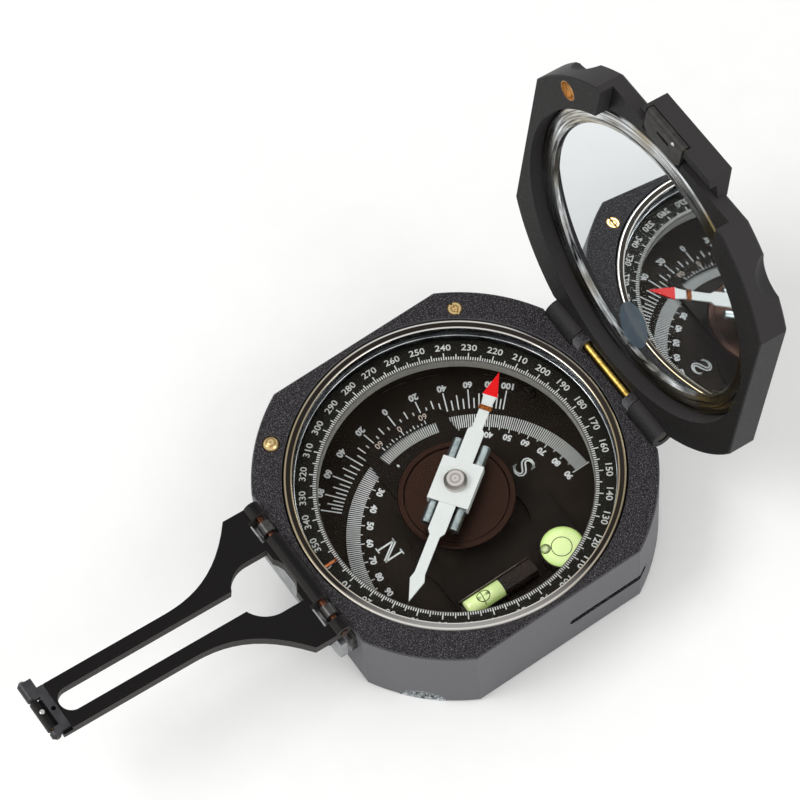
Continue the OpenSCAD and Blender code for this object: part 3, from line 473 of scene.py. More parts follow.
def rolled_bezel(bright, gold, dark):
    # Nickel-plated brass rolled to a bead, with painted highlights: the crest and the lip on the glass
    # are painted bright, the slope between is painted dark as a reflection, and the plating is worn through
    # to brass in places.
    made, tree = new_material("nickel-plated rolled bezel with painted highlights")
    place = add_node(tree, "TexCoord")
    flat = add_node(tree, "VectorMath", {"operation": "MULTIPLY"},
            {0: place.outputs["Object"], 1: (1, 1, 0)})
    radius = add_node(tree, "VectorMath", {"operation": "LENGTH"}, {0: flat})
    lip_radius, crest_radius = 32.05, 33.3
    # Painted highlights: bright bands at the lip's and the crest's radius
    phase = add_node(tree, "MapRange", {"clamp": False},
            {"Value": radius, "From Min": lip_radius * MM, "From Max": crest_radius * MM,
            "To Max": 2 * math.pi})
    crest = add_node(tree, "Math", {"operation": "COSINE"}, {0: phase})
    painted_highlight_bands = add_node(tree, "MapRange", None, {"Value": crest, "From Min": 0.45, "From Max": 0.98})
    # The wear is where a hand closes round the case: on two opposite sides
    across = add_node(tree, "VectorMath", {"operation": "DOT_PRODUCT"},
            {0: place.outputs["Object"], 1: (0.53, 0.85, 0)})
    outward = add_node(tree, "Math", {"operation": "ABSOLUTE"}, {0: across})
    worn = add_node(tree, "MapRange", None,
            {"Value": outward, "From Min": 14 * MM, "From Max": 31 * MM, "To Max": 0.85})
    plated = add_node(tree, "Mix", {"data_type": "RGBA"}, {"Factor": worn, "A": bright, "B": gold})
    # Painted highlight: on one side the slope is painted light all the way down
    lit_side = add_node(tree, "VectorMath", {"operation": "DOT_PRODUCT"},
            {0: place.outputs["Object"], 1: (0.87, -0.49, 0)})
    rubbed = add_node(tree, "MapRange", None, {"Value": lit_side, "From Min": 22 * MM, "From Max": 33 * MM})
    painted_valley_tone = add_node(tree, "Mix", {"data_type": "RGBA"},
            {"Factor": rubbed, "A": dark, "B": shades(bright, 0.5)})
    tone = add_node(tree, "Mix", {"data_type": "RGBA"}, {"Factor": painted_highlight_bands, "A": painted_valley_tone, "B": plated})
    dull = add_node(tree, "MapRange", None, {"Value": painted_highlight_bands, "To Min": 0.4, "To Max": 0.12})
    shader = add_node(tree, "BsdfPrincipled", None,
            {"Base Color": tone, "Metallic": 1.0, "Roughness": dull})
    return finish_material(made, tree, shader)


def ring_anodising(face, wall):
    # Aluminium degree ring, turned and dyed dark: the face is flat and nearly black, and the
    # bright machined bore shows its turning marks as a lighter grey band.
    made, tree = new_material("dark anodised aluminium ring")
    place = add_node(tree, "TexCoord")
    split = add_node(tree, "SeparateXYZ", None, {0: place.outputs["Normal"]})
    upward = add_node(tree, "MapRange", None,
            {"Value": split.outputs["Z"], "From Min": 0.3, "From Max": 0.9})
    fine = add_node(tree, "TexNoise", None,
            {"Vector": place.outputs["Object"], "Scale": per_mm(0.55), "Detail": 3.0, "Roughness": 0.8})
    worn = add_node(tree, "Mix", {"data_type": "RGBA"},
            {"Factor": fine, "A": shades(wall, 0.2), "B": shades(wall, 1.9)})
    tone = add_node(tree, "Mix", {"data_type": "RGBA"}, {"Factor": upward, "A": worn, "B": face})
    relief = add_node(tree, "Bump", None, {"Strength": 0.2, "Distance": 0.03 * MM, "Height": fine})
    shader = add_node(tree, "BsdfPrincipled", None,
            {"Base Color": tone, "Roughness": 0.5, "Specular IOR Level": 0.1, "Normal": relief})
    return finish_material(made, tree, shader)


def needle_enamel(white, red, along, start):
    # White stoving enamel on a stamped steel blade, with the north end dipped in red:
    # glossy, slightly orange-peeled, with a clean line where the red begins.
    made, tree = new_material("white and red enamel")
    place = add_node(tree, "TexCoord")
    reach = add_node(tree, "VectorMath", {"operation": "DOT_PRODUCT"},
            {0: place.outputs["Object"], 1: along})
    dipped = add_node(tree, "MapRange", None,
            {"Value": reach, "From Min": (start - 0.05) * MM, "From Max": (start + 0.05) * MM})
    peel = add_node(tree, "TexNoise", None,
            {"Vector": place.outputs["Object"], "Scale": per_mm(0.8), "Detail": 2.0})
    aged = add_node(tree, "Mix", {"data_type": "RGBA"},
            {"Factor": peel, "A": shades(white, 0.9), "B": white})
    tone = add_node(tree, "Mix", {"data_type": "RGBA"}, {"Factor": dipped, "A": aged, "B": red})
    relief = add_node(tree, "Bump", None, {"Strength": 0.15, "Distance": 0.02 * MM, "Height": peel})
    shader = add_node(tree, "BsdfPrincipled", None,
            {"Base Color": tone, "Roughness": 0.35, "Specular IOR Level": 0.2, "Normal": relief})
    return finish_material(made, tree, shader)


def clear_glass(tint):
    # Polished flat glass: it is all but invisible from above, with a soft sheen at low angles.
    # No bending of light is drawn, because the pane is thin and everything under it is close. The
    # index is lower than real glass has, or else the white surround would veil the dial.
    made, tree = new_material("polished crystal glass")
    through = add_node(tree, "BsdfTransparent", None, {"Color": tint})
    shine = add_node(tree, "BsdfGlossy", None, {"Color": (1, 1, 1, 1), "Roughness": 0.02})
    edge = add_node(tree, "Fresnel", None, {"IOR": 1.06})
    both = add_node(tree, "MixShader", None, {0: edge, 1: through, 2: shine})
    return finish_material(made, tree, both)


def half_clear(tint, body):
    # Grey sight window in the mirror: it shows partly what is behind it and mostly the faintly
    # cloudy coating of its own glass.
    made, tree = new_material("grey sight window")
    place = add_node(tree, "TexCoord")
    clouds = add_node(tree, "TexNoise", None,
            {"Vector": place.outputs["Object"], "Scale": per_mm(2.5), "Detail": 1.0})
    tone = add_node(tree, "Mix", {"data_type": "RGBA"},
            {"Factor": clouds, "A": shades(body, 0.8), "B": shades(body, 1.2)})
    through = add_node(tree, "BsdfTransparent", None, {"Color": tint})
    coating = add_node(tree, "BsdfPrincipled", None,
            {"Base Color": tone, "Roughness": 0.12, "Specular IOR Level": 0.5})
    coated = 0.8
    both = add_node(tree, "MixShader", None, {0: coated, 1: through, 2: coating})
    return finish_material(made, tree, both)


def silvered_glass(colour):
    # Glass silvered on its back: a clean mirror with a faint grey-green cast and a few
    # specks of dust, which only show as slightly duller spots.
    made, tree = new_material("silvered mirror glass")
    place = add_node(tree, "TexCoord")
    dust = add_node(tree, "TexNoise", None,
            {"Vector": place.outputs["Object"], "Scale": per_mm(0.9), "Detail": 3.0})
    dull = add_node(tree, "MapRange", None,
            {"Value": dust, "From Min": 0.6, "From Max": 0.8, "To Min": 0.015, "To Max": 0.06})
    shader = add_node(tree, "BsdfPrincipled", None,
            {"Base Color": colour, "Metallic": 1.0, "Roughness": dull})
    return finish_material(made, tree, shader)


def dyed_spirit(name, colour, deep, axis_point, axis, radius):
    # A glass vial of dyed spirit: clear yellow-green, bright in the middle where the light
    # comes back through it, and deeper towards the sides of the glass, with a wet gloss. The
    # low emission is that returned light, because the vial is drawn as a closed body.
    made, tree = new_material(name)
    place = add_node(tree, "TexCoord")
    away = add_node(tree, "VectorMath", {"operation": "SUBTRACT"},
            {0: place.outputs["Object"], 1: tuple(c * MM for c in axis_point)})
    flat = add_node(tree, "VectorMath", {"operation": "MULTIPLY"}, {0: away, 1: axis})
    distance = add_node(tree, "VectorMath", {"operation": "LENGTH"}, {0: flat})
    side = add_node(tree, "MapRange", None,
            {"Value": distance, "From Min": 0.72 * radius * MM, "From Max": 1.02 * radius * MM})
    tone = add_node(tree, "Mix", {"data_type": "RGBA"}, {"Factor": side, "A": colour, "B": deep})
    shader = add_node(tree, "BsdfPrincipled", None,
            {"Base Color": tone, "Roughness": 0.06, "Specular IOR Level": 0.5, "Emission Color": tone,
            "Emission Strength": 0.27})
    return finish_material(made, tree, shader)


def scale_paint(name, colour, wear):
    """Paint wiped into engraved lines, a little uneven where the wiping thinned it."""
    return grained(name, colour, shades(colour, wear), 1.5, 0.2, (0.5, 0.7), 0.05, specular=0.2)


# ---------------------------------------------------------------- what a user would change


class TransitSizes(bpy.types.PropertyGroup):
    ring_figures: bpy.props.FloatProperty(name="Ring figures",
            description="Height of the degree ring's figures", default=0.00138, unit="LENGTH",
            subtype="DISTANCE", precision=5)
    dial_figures: bpy.props.FloatProperty(name="Dial figures",
            description="Height of the figures on the dial plate", default=0.0015, unit="LENGTH",
            subtype="DISTANCE", precision=5)
    fine_line: bpy.props.FloatProperty(name="Fine line",
            description="Width of the ring's and the degree band's lines", default=0.00018, unit="LENGTH",
            subtype="DISTANCE", precision=5)
    bold_line: bpy.props.FloatProperty(name="Bold line", description="Width of the percent scale's lines",
            default=0.00026, unit="LENGTH", subtype="DISTANCE", precision=5)
    paint_thickness: bpy.props.FloatProperty(name="Paint thickness",
            description="How far scale paint stands above its surface", default=0.00003, unit="LENGTH",
            subtype="DISTANCE", precision=6)
    coil_wire: bpy.props.FloatProperty(name="Coil wire", description="Radius of the balance coil's wire",
            default=0.00013, unit="LENGTH", subtype="DISTANCE", precision=5)


class TransitColours(bpy.types.PropertyGroup):
    case_black: bpy.props.FloatVectorProperty(name="Case paint", description="Wrinkle paint of the case",
            default=linear("#1a181a"), size=4, subtype="COLOR")
    # The glints are highlights painted into the paint's colour
    case_glint: bpy.props.FloatVectorProperty(name="Case glints", description="Glints of the wrinkle paint",
            default=linear("#8a868a"), size=4, subtype="COLOR")
    lid_black: bpy.props.FloatVectorProperty(name="Lid paint", description="Paint of the lid",
            default=linear("#191817"), size=4, subtype="COLOR")
    arm_black: bpy.props.FloatVectorProperty(name="Arm paint",
            description="Satin paint of the sighting arm", default=linear("#100e0e"), size=4,
            subtype="COLOR")
    dial_black: bpy.props.FloatVectorProperty(name="Dial", description="Matt black of the dial plate",
            default=linear("#241e19"), size=4, subtype="COLOR")
    ring_black: bpy.props.FloatVectorProperty(name="Ring face", description="Face of the degree ring",
            default=linear("#201e19"), size=4, subtype="COLOR")
    scale_white: bpy.props.FloatVectorProperty(name="Scale white", description="White of the dial's scales",
            default=linear("#f2f4f4"), size=4, subtype="COLOR")
    ring_white: bpy.props.FloatVectorProperty(name="Ring white", description="White of the ring's scale",
            default=linear("#ededea"), size=4, subtype="COLOR")
    vernier_tan: bpy.props.FloatVectorProperty(name="Vernier tan", description="Figures of the vernier",
            default=linear("#dccdbf"), size=4, subtype="COLOR")
    needle_white: bpy.props.FloatVectorProperty(name="Needle white", description="Enamel of the needle",
            default=linear("#eef1f0"), size=4, subtype="COLOR")
    needle_red: bpy.props.FloatVectorProperty(name="Needle red", description="North end of the needle",
            default=linear("#f00c12"), size=4, subtype="COLOR")
    cup_brown: bpy.props.FloatVectorProperty(name="Damping cup", description="Darkened copper of the cup",
            default=linear("#331f16"), size=4, subtype="COLOR")
    spirit_green: bpy.props.FloatVectorProperty(name="Level spirit",
            description="Dyed spirit of the levels", default=linear("#e4f7ac"), size=4, subtype="COLOR")
    brass: bpy.props.FloatVectorProperty(name="Brass", description="Turned brass pins and screws",
            default=linear("#d2bb8c"), size=4, subtype="COLOR")
    nickel: bpy.props.FloatVectorProperty(name="Nickel", description="Polished bezel, hub and mirror ring",
            default=linear("#dad7d2"), size=4, subtype="COLOR")


# ---------------------------------------------------------------- one operator for each group


def scallop_lip(direction):
    """The lip at the foot of one finger scallop, and a dark wire behind it as a painted shadow line."""
    middle = math.radians(direction)
    # From the case's axis to the scallop's and to the rim, and from the scallop's axis to its wall
    out, rim, wall = 44.52, 39.85, 6.85
    wall_spread, rim_spread = math.radians(44.2), math.radians(6.95)
    loops, line = [], []
    for i in range(25):
        k = (i / 24 * 2 - 1) * 0.98
        a, c = middle + math.pi - wall_spread * k, middle + rim_spread * k
        near = (out * math.cos(middle) + wall * math.cos(a), out * math.sin(middle) + wall * math.sin(a))
        far = (rim * math.cos(c), rim * math.sin(c))
        rise = 1 - k * k
        dish = ((0, 0.03), (1, 0.03), (1, 0.2), (0.75, 0.22), (0.5, 0.25 + 0.1 * rise),
                (0.25, 0.28 + 0.3 * rise), (0, 0.3 + 0.6 * rise))
        loops.append([(*between(near, far, share), z) for share, z in dish])
        # Painted shadow: a dark wire along the lip's edge
        line.append((*between(near, far, 0.16), 0.28 + 0.48 * rise))
    return lofted(loops), swept(line, 0.15)


class TRANSIT_OT_case(bpy.types.Operator):
    """Paints the case and finishes its finger scallops, pins and screws"""

    bl_idname = "transit.case"
    bl_label = "Case finish"

    def execute(self, context):
        hue = context.scene.transit_colours
        hollows = [((side * SCALLOP_OUT, -SCALLOP_OUT, SCALLOP_HEIGHT), SCALLOP_RADIUS) for side in (-1, 1)]
        # The side tone #6b6b6e is painted sheen, and the glint colour is painted highlight
        paint = wrinkle_paint("black wrinkle paint", hue.case_black, hue.case_glint, linear("#6b6b6e"),
                (0, 0, 1), thumbed=hollows)
        dress(paint, "case_body")
        # Lower lip of each finger scallop: a shallow dish of bare cast aluminium, speckled where
        # thumbs rubbed its rough skin, with a dark wire behind it as a painted shadow line along the edge
        worn = grained("worn cast aluminium", linear("#34393c"), linear("#d9dfe1"), 0.4, 0.15, (0.3, 0.5),
                0.3, metallic=0.3)
        edge = grained("dark painted shadow line", linear("#0b0b0c"), linear("#1e1e20"), 0.8, 0.2, (0.4, 0.6), 0.1)
        lips, edges = zip(*(scallop_lip(direction) for direction in (-45, -135)))
        make_piece("scallop_lips", lips, worn, "case", smooth=True)
        make_piece("scallop_shadow_lines", edges, edge, "case", smooth=True)
        # Free-cutting brass, turned: pale gold with bright and dull lathe rings
        pin = turned_metal("turned brass pin", hue.brass, linear("#96784a"), 0.85, (0.16, 0.4), 0.5,
                LIFT_PIN)
        dress(pin, "lift_pin", "lift_sleeve", "lever_pin")
        screw = turned_metal("turned brass screw", hue.brass, linear("#8a6c3a"), 0.7, (0.16, 0.4), 0.5,
                SETTING_SCREW)
        dress(screw, "declination_screw", "declination_pinion")
        # Drawn brass wire of the hinge: a painted highlight as a bright strip along its upper side, and
        # painted shade in dark brown on its flanks
        rod = grained("drawn brass rod", linear("#b89c52"), linear("#7d6530"), 0.9, 0.15, (0.2, 0.4), 0.15,
                metallic=1.0, rubbed=((0, -0.2, 0.98), linear("#33260f")))
        dress(rod, "lid_hinge_pin", "lid_sight_pin", "arm_sight_pin", "clinometer_shaft")
        # Steel that was stamped and left bare: satin grey with faint scratches
        steel = grained("bare satin steel", linear("#8e9092"), linear("#6a6c6e"), 1.8, 0.12, (0.28, 0.45),
                0.2, metallic=1.0)
        # Screws blacked by heat and oil: brown-black, paler where a screwdriver slipped
        black = grained("blackened steel screw", linear("#2b2623"), linear("#4a433e"), 0.8, 0.15,
                (0.2, 0.4), 0.2, metallic=0.6)
        dress(black, "dial_screw_1", "dial_screw_2")
        dress(steel, "needle_pivot", "lift_spring", "lifter_lever", "clinometer_lever")
        return {"FINISHED"}


class TRANSIT_OT_glass(bpy.types.Operator):
    """Finishes the glass, its seat, the bezel and the index pin"""

    bl_idname = "transit.glass"
    bl_label = "Glass and bezel"

    def execute(self, context):
        hue = context.scene.transit_colours
        # One bead: it starts at the lip on the glass, rises to its crest and drops to the case's wall
        profile = [(32.2, 18.5), (32.2, 20.03), (31.9, 20.03), (31.95, 20.14), (32.1, 20.2), (32.5, 20.27),
                   (32.9, 20.4), (33.3, 20.48), (33.65, 20.36), (33.85, 20.05), (33.9, 19.8), (33.9, 18.5)]
        # The dark tone is the painted reflection in the bead's slope
        metal = rolled_bezel(hue.nickel, linear("#97855f"), linear("#2a2622"))
        rolled = make_piece("bezel_rolled", [turned(profile, 192, ring=True)], metal, "case",
                smooth=True)
        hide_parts("bezel")
        dress(clear_glass((0.985, 0.99, 0.985, 1)), "crystal")
        # Dyed aluminium ring under the glass: dark, with a duller lathe-turned face
        seat = turned_metal("dark dyed seat ring", linear("#4a4c50"), linear("#1c1d20"), 1.2, (0.3, 0.5),
                0.3)
        dress(seat, "crystal_seat_ring")
        # Spring wire that holds the glass down on its seat: a thin bright line under the bezel
        hoop_radius, hoop_height = 31.72, 17.55
        hoop = [(hoop_radius * math.cos(a), hoop_radius * math.sin(a), hoop_height) for a in angles(240)]
        spring = grained("bright spring wire", linear("#d4d6d8"), linear("#8c8e92"), 6.0, 0.3, (0.15, 0.3),
                0.0, metallic=1.0)
        make_piece("glass_spring_wire", [swept(hoop, 0.2, 8, closed=True)], spring, "case",
                smooth=True)
        # Bare copper wire: reddish and slightly dulled by handling
        copper = grained("bare copper wire", linear("#e08858"), linear("#b05a34"), 0.7, 0.12, (0.25, 0.45),
                0.15, metallic=0.8)
        index_height = 15.64
        wire = swept([(0, y, index_height) for y in (-28.25, -30.5, -32.85)], 0.34, 12)
        pin = make_piece("index_wire", [wire], copper, "case", smooth=True)
        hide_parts("index_pin")
        # Hinge wire of the arm: the same copper gone brown under old oil
        brown = grained("oiled copper wire", linear("#5e3b2e"), linear("#24160f"), 0.9, 0.15, (0.3, 0.5),
                0.15, metallic=1.0)
        dress(brown, "arm_hinge_pin")
        return {"FINISHED"}


class TRANSIT_OT_ring(bpy.types.Operator):
    """Finishes the degree ring and cuts its 360 lines and 36 figures"""

    bl_idname = "transit.ring"
    bl_label = "Degree ring"

    def execute(self, context):
        size, hue = context.scene.transit_sizes, context.scene.transit_colours
        dress(ring_anodising(hue.ring_black, linear("#a8a6a0")), "graduated_ring")
        low, high = RING_FACE - SUNK, RING_FACE + size.paint_thickness / MM
        width = size.fine_line / MM
        # The lines start at the ring's bore, and the figures stand on a circle outside them
        near, figure_circle = 27.57, 30.3
        parts = []
        for degree in range(360):
            far = 29.1 if degree % 10 == 0 else 28.75 if degree % 5 == 0 else 28.22
            parts.append(radial_bar(degree - 90, near, far, width + 0.04, low, high))
        for degree in range(0, 360, 10):
            figure = lettering(str(degree), size.ring_figures / MM, low, high, 0.014, 1.14)
            parts.append(figure_at(figure, degree - 90, figure_circle, True))
        white = scale_paint("wiped scale paint on the ring", hue.ring_white, 0.75)
        make_piece("ring_scale", parts, white, "degree_ring")
        return {"FINISHED"}


def letter_n(low, high):
    """A thin N with small serifs and an open diagonal."""
    strokes = [
        ([(-1.45, -1.95), (-1.45, 1.95)], 0.36),
        ([(1.45, -1.95), (1.45, 1.95)], 0.36),
        ([(-1.6, 2.05), (1.15, -2.05)], 0.32),
        ([(-1.0, 2.05), (1.6, -2.05)], 0.32),
        ([(-2.1, -1.95), (-0.8, -1.95)], 0.26),
        ([(0.8, 1.95), (2.1, 1.95)], 0.26),
        ([(-2.0, 1.98), (-0.9, 1.98)], 0.2),
    ]
    return [ribbon(line, width, low, high) for line, width in strokes]


def letter_s(low, high):
    """A thin S whose middle is drawn as two lines."""
    guide = [(1.25, 1.05), (1.05, 1.65), (0.45, 1.98), (-0.3, 1.95), (-0.9, 1.6), (-1.1, 1.05),
            (-0.85, 0.5), (-0.2, 0.1), (0.45, -0.25), (1.0, -0.65), (1.15, -1.2), (0.85, -1.75),
            (0.2, -2.0), (-0.5, -1.92), (-1.05, -1.6), (-1.3, -1.05)]
    last = len(guide) - 1
    lines = []
    for side in (1, -1):
        line = []
        for i, (x, y) in enumerate(guide):
            ax, ay = guide[max(i - 1, 0)]
            bx, by = guide[min(i + 1, last)]
            long = math.hypot(bx - ax, by - ay)
            off = side * 0.36 * math.sin(math.pi * i / last) ** 1.5
            line.append((x + (ay - by) / long * off, y + (bx - ax) / long * off))
        lines.append(ribbon(line, 0.33, low, high))
    lines.append(plate([(1.4, 0.75), (1.4, 1.9), (1.12, 1.2)], low, high))
    lines.append(plate([(-1.42, -0.75), (-1.18, -1.2), (-1.42, -1.9)], low, high))
    return lines


class TRANSIT_OT_dial(bpy.types.Operator):
    """Finishes the dial plate and prints its percent scale, degree band and the letters N and S"""

    bl_idname = "transit.dial"
    bl_label = "Dial scales"

    def execute(self, context):
        size, hue = context.scene.transit_sizes, context.scene.transit_colours
        # Aluminium sheet sprayed matt black-brown: flat, with faint clouds from the spraying
        lacquer = grained("matt black dial lacquer", hue.dial_black, shades(hue.dial_black, 1.25), 6.0,
                0.25, (0.5, 0.65), 0.0, specular=0.05)
        dress(lacquer, "dial_plate")
        low, high = DIAL_FACE - SUNK, DIAL_FACE + size.paint_thickness / MM
        pivot = CLINOMETER_AXIS
        bold, fine = size.bold_line / MM, size.fine_line / MM
        white = scale_paint("white scale print", hue.scale_white, 0.85)
        # Percent scale: 100 percent is 45 degrees. Near zero its lines start further out, which
        # leaves room for the vernier's figures
        parts = []
        for percent in range(0, 101, 5):
            far = 32.05 if percent % 20 == 0 else 31.05 if percent % 10 == 0 else 30.05
            for side in (1, -1) if percent else (1,):
                angle = 180 + side * math.degrees(math.atan(percent / 100))
                parts.append(radial_bar(angle, 29.0 if percent < 33 else 27.8, far, bold, low, high, pivot))
                if percent % 20 == 0:
                    figure = lettering(str(percent), size.dial_figures / MM, low, high, 0.045)
                    parts.append(figure_at(figure, angle, 33.1, False, pivot))
        make_piece("percent_scale", parts, white, "case")
        # Degree band, just inside the vernier's travel
        parts = []
        for degree in range(-90, 91):
            near = 22.8 if degree % 10 == 0 else 23.15 if degree % 5 == 0 else 23.6
            far = 26.75 if abs(degree) == 90 else 26.4
            parts.append(radial_bar(180 + degree, near, far, fine + 0.02, low, high, pivot))
            if degree % 10 == 0:
                figure = lettering(str(abs(degree)), 0.93 * size.dial_figures / MM, low, high, 0.045)
                parts.append(figure_at(figure, 180 + degree, 21.75, False, pivot))
        make_piece("degree_band", parts, white, "case")
        make_piece("letter_n", letter_n(low, high), white, "case",
                place=Matrix.Translation((0.3, -16.6, 0)))
        make_piece("letter_s", letter_s(low, high), white, "case",
                place=Matrix.Translation((0.8, 15.6, 0)))
        # Painted highlight: hair-fine bright metal arcs round the dial, where thin lines of light show
        # along an edge
        bare = grained("painted highlight arc", linear("#8d8374"), linear("#4a443b"), 2.0, 0.2, (0.3, 0.5), 0.1,
                metallic=1.0)
        arcs = []
        for radius, start, stop in ((29.6, 152, 176), (29.75, 121, 135)):
            turns = [math.radians(a) for a in range(start, stop + 1, 2)]
            line = [(radius * math.cos(a), radius * math.sin(a)) for a in turns]
            arcs.append(ribbon(line, 0.09, low, high - SUNK))
        make_piece("dial_highlight_arcs", arcs, bare, "case")
        return {"FINISHED"}


class TRANSIT_OT_clinometer(bpy.types.Operator):
    """Finishes the clinometer plate and prints its vernier"""

    bl_idname = "transit.clinometer"
    bl_label = "Clinometer vernier"

    def execute(self, context):
        size, hue = context.scene.transit_sizes, context.scene.transit_colours
        # Brass sheet lacquered brown-black: a little smoother and browner than the dial
        lacquer = grained("brown-black lacquer", linear("#1c1713"), linear("#241d18"), 5.0, 0.3,
                (0.4, 0.55), 0.0, specular=0.07)
        dress(lacquer, "clinometer_arm")
        low, high = VERNIER_FACE - SUNK, VERNIER_FACE + size.paint_thickness / MM
        pivot = CLINOMETER_AXIS
        white = scale_paint("white vernier print", hue.scale_white, 0.85)
        tan = scale_paint("tan vernier print", hue.vernier_tan, 0.8)
        # Six lines each way read ten minutes apiece: they are 11/6 of a degree apart
        parts, figures = [], []
        for step in range(-6, 7):
            far = 27.25 if step == 0 else 27.0 if step % 3 == 0 else 26.6
            angle = 180 + step * 11 / 6
            parts.append(radial_bar(angle, 26.12, far, size.fine_line / MM, low, high, pivot))
            if step % 6 == 0:
                figure = lettering("60" if step else "0", 1.28, low, high, 0.004)
                figures.append(figure_at(figure, angle, 27.85, False, pivot))
        # A single dot on the plate, further in
        parts.append(radial_bar(-167.2, 21.5, 22.1, 0.4, low, high, pivot))
        make_piece("vernier_lines", parts, white, "clinometer")
        make_piece("vernier_figures", figures, tan, "clinometer")
        return {"FINISHED"}


class TRANSIT_OT_cup(bpy.types.Operator):
    """Finishes the damping cup"""

    bl_idname = "transit.cup"
    bl_label = "Damping cup"

    def execute(self, context):
        hue = context.scene.transit_colours
        # Copper cup turned and chemically darkened: chocolate brown, with faint lathe rings
        cup = turned_metal("darkened copper", shades(hue.cup_brown, 1.15), shades(hue.cup_brown, 0.85),
                0.45, (0.3, 0.42), 0.1, metallic=0.85)
        dress(cup, "damping_cup")
        return {"FINISHED"}


class TRANSIT_OT_needle(bpy.types.Operator):
    """Enamels the needle, winds its balance coil and finishes hub and magnets"""

    bl_idname = "transit.needle"
    bl_label = "Needle"

    def execute(self, context):
        size, hue = context.scene.transit_sizes, context.scene.transit_colours
        turn = math.radians(NEEDLE_TURN)
        red_starts, tip = 20.2, 25.75
        enamel = needle_enamel(hue.needle_white, hue.needle_red, (math.cos(turn), math.sin(turn), 0),
                red_starts)
        dress(enamel, "needle_carrier")
        # Nickel-plated cap over the jewel, turned: warm grey with clear concentric rings
        hub = turned_metal("nickel hub cap", linear("#d2ccc8"), linear("#a7a09c"), 0.95, (0.3, 0.45), 0.3)
        dress(hub, "needle_hub")
        # Magnet rods, ground and nickel plated: grey with a slight green cast
        rods = grained("nickel-plated magnet", linear("#c2cbcd"), linear("#98a3a6"), 1.6, 0.15,
                (0.22, 0.36), 0.12, metallic=1.0)
        dress(rods, "needle_magnet_1", "needle_magnet_2")
        # Blade: a waisted strip that widens over the magnets and ends in two spear points
        edge = [(tip, 0), (red_starts, 1.6), (19.9, 1.32), (18.2, 1.1), (12.7, 1.05), (11.9, 1.75),
                (0, 1.75)]
        tail = [(0, 1.75), (-11.1, 1.75), (-12.1, 1.05), (-20.6, 1.05), (-22.1, 1.5), (-26.9, 0)]
        hole = 1.2
        eye = [(hole * math.sin(math.pi * i / 8), hole * math.cos(math.pi * i / 8)) for i in range(9)]
        blade_faces = (15.3, 15.6)
        halves = [
            edge[::-1] + [(u, -v) for u, v in edge[1:]] + eye[::-1],
            tail + [(u, -v) for u, v in tail[-2::-1]] + [(-u, v) for u, v in eye[::-1]],
        ]
        blade = make_piece("enamelled_blade", [plate(half, *blade_faces) for half in halves], enamel,
                "needle", place=NEEDLE_PLACE)
        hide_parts("needle_blade")
        # Balance coil: four turns round the blade, just clear of its faces
        wire = size.coil_wire / MM
        coil_starts, half_v, half_z, mid_z = 16.86, 1.2, 0.15 + wire + 0.02, 15.45
        once_round = [(-half_v, half_z), (0, half_z), (half_v, half_z), (half_v + wire, 0),
                      (half_v, -half_z), (0, -half_z), (-half_v, -half_z), (-half_v - wire, 0)]
        line = [
            (coil_starts + (number + k / 8) * 2.02 * wire, v, mid_z + z)
            for number in range(4)
            for k, (v, z) in enumerate(once_round)
        ]
        # Fine copper wire wound by hand: dark from age, with orange patches painted in as highlights
        copper = grained("wound copper wire", linear("#57230f"), linear("#e08438"), 0.6, 0.1, (0.25, 0.4),
                0.1, metallic=0.7)
        coil = make_piece("balance_coil", [swept(line, wire)], copper, "needle", smooth=True,
                place=NEEDLE_PLACE)
        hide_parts("needle_weight")
        return {"FINISHED"}


def on_tube(across, along, lift=0.0):
    """A point on the tube vial's upper surface."""
    a = across / TUBE_RADIUS
    return TUBE_X + (TUBE_RADIUS + lift) * math.sin(a), along, TUBE_Z + (TUBE_RADIUS + lift) * math.cos(a)


def dome_height(radius):
    """Height of the round level's domed glass at that distance from its middle."""
    return DOME_RIM - DOME_CURVE + math.sqrt(DOME_CURVE**2 - radius**2)


def on_round(x, y, lift=0.0):
    """A point on the round level's domed glass."""
    return x, y, dome_height(math.hypot(x - ROUND_X, y - ROUND_Y)) + lift


def circle_on_round(x, y, radius, steps):
    """A circle drawn on the round level's domed glass."""
    return [on_round(x + radius * math.cos(a), y + radius * math.sin(a)) for a in angles(steps)]


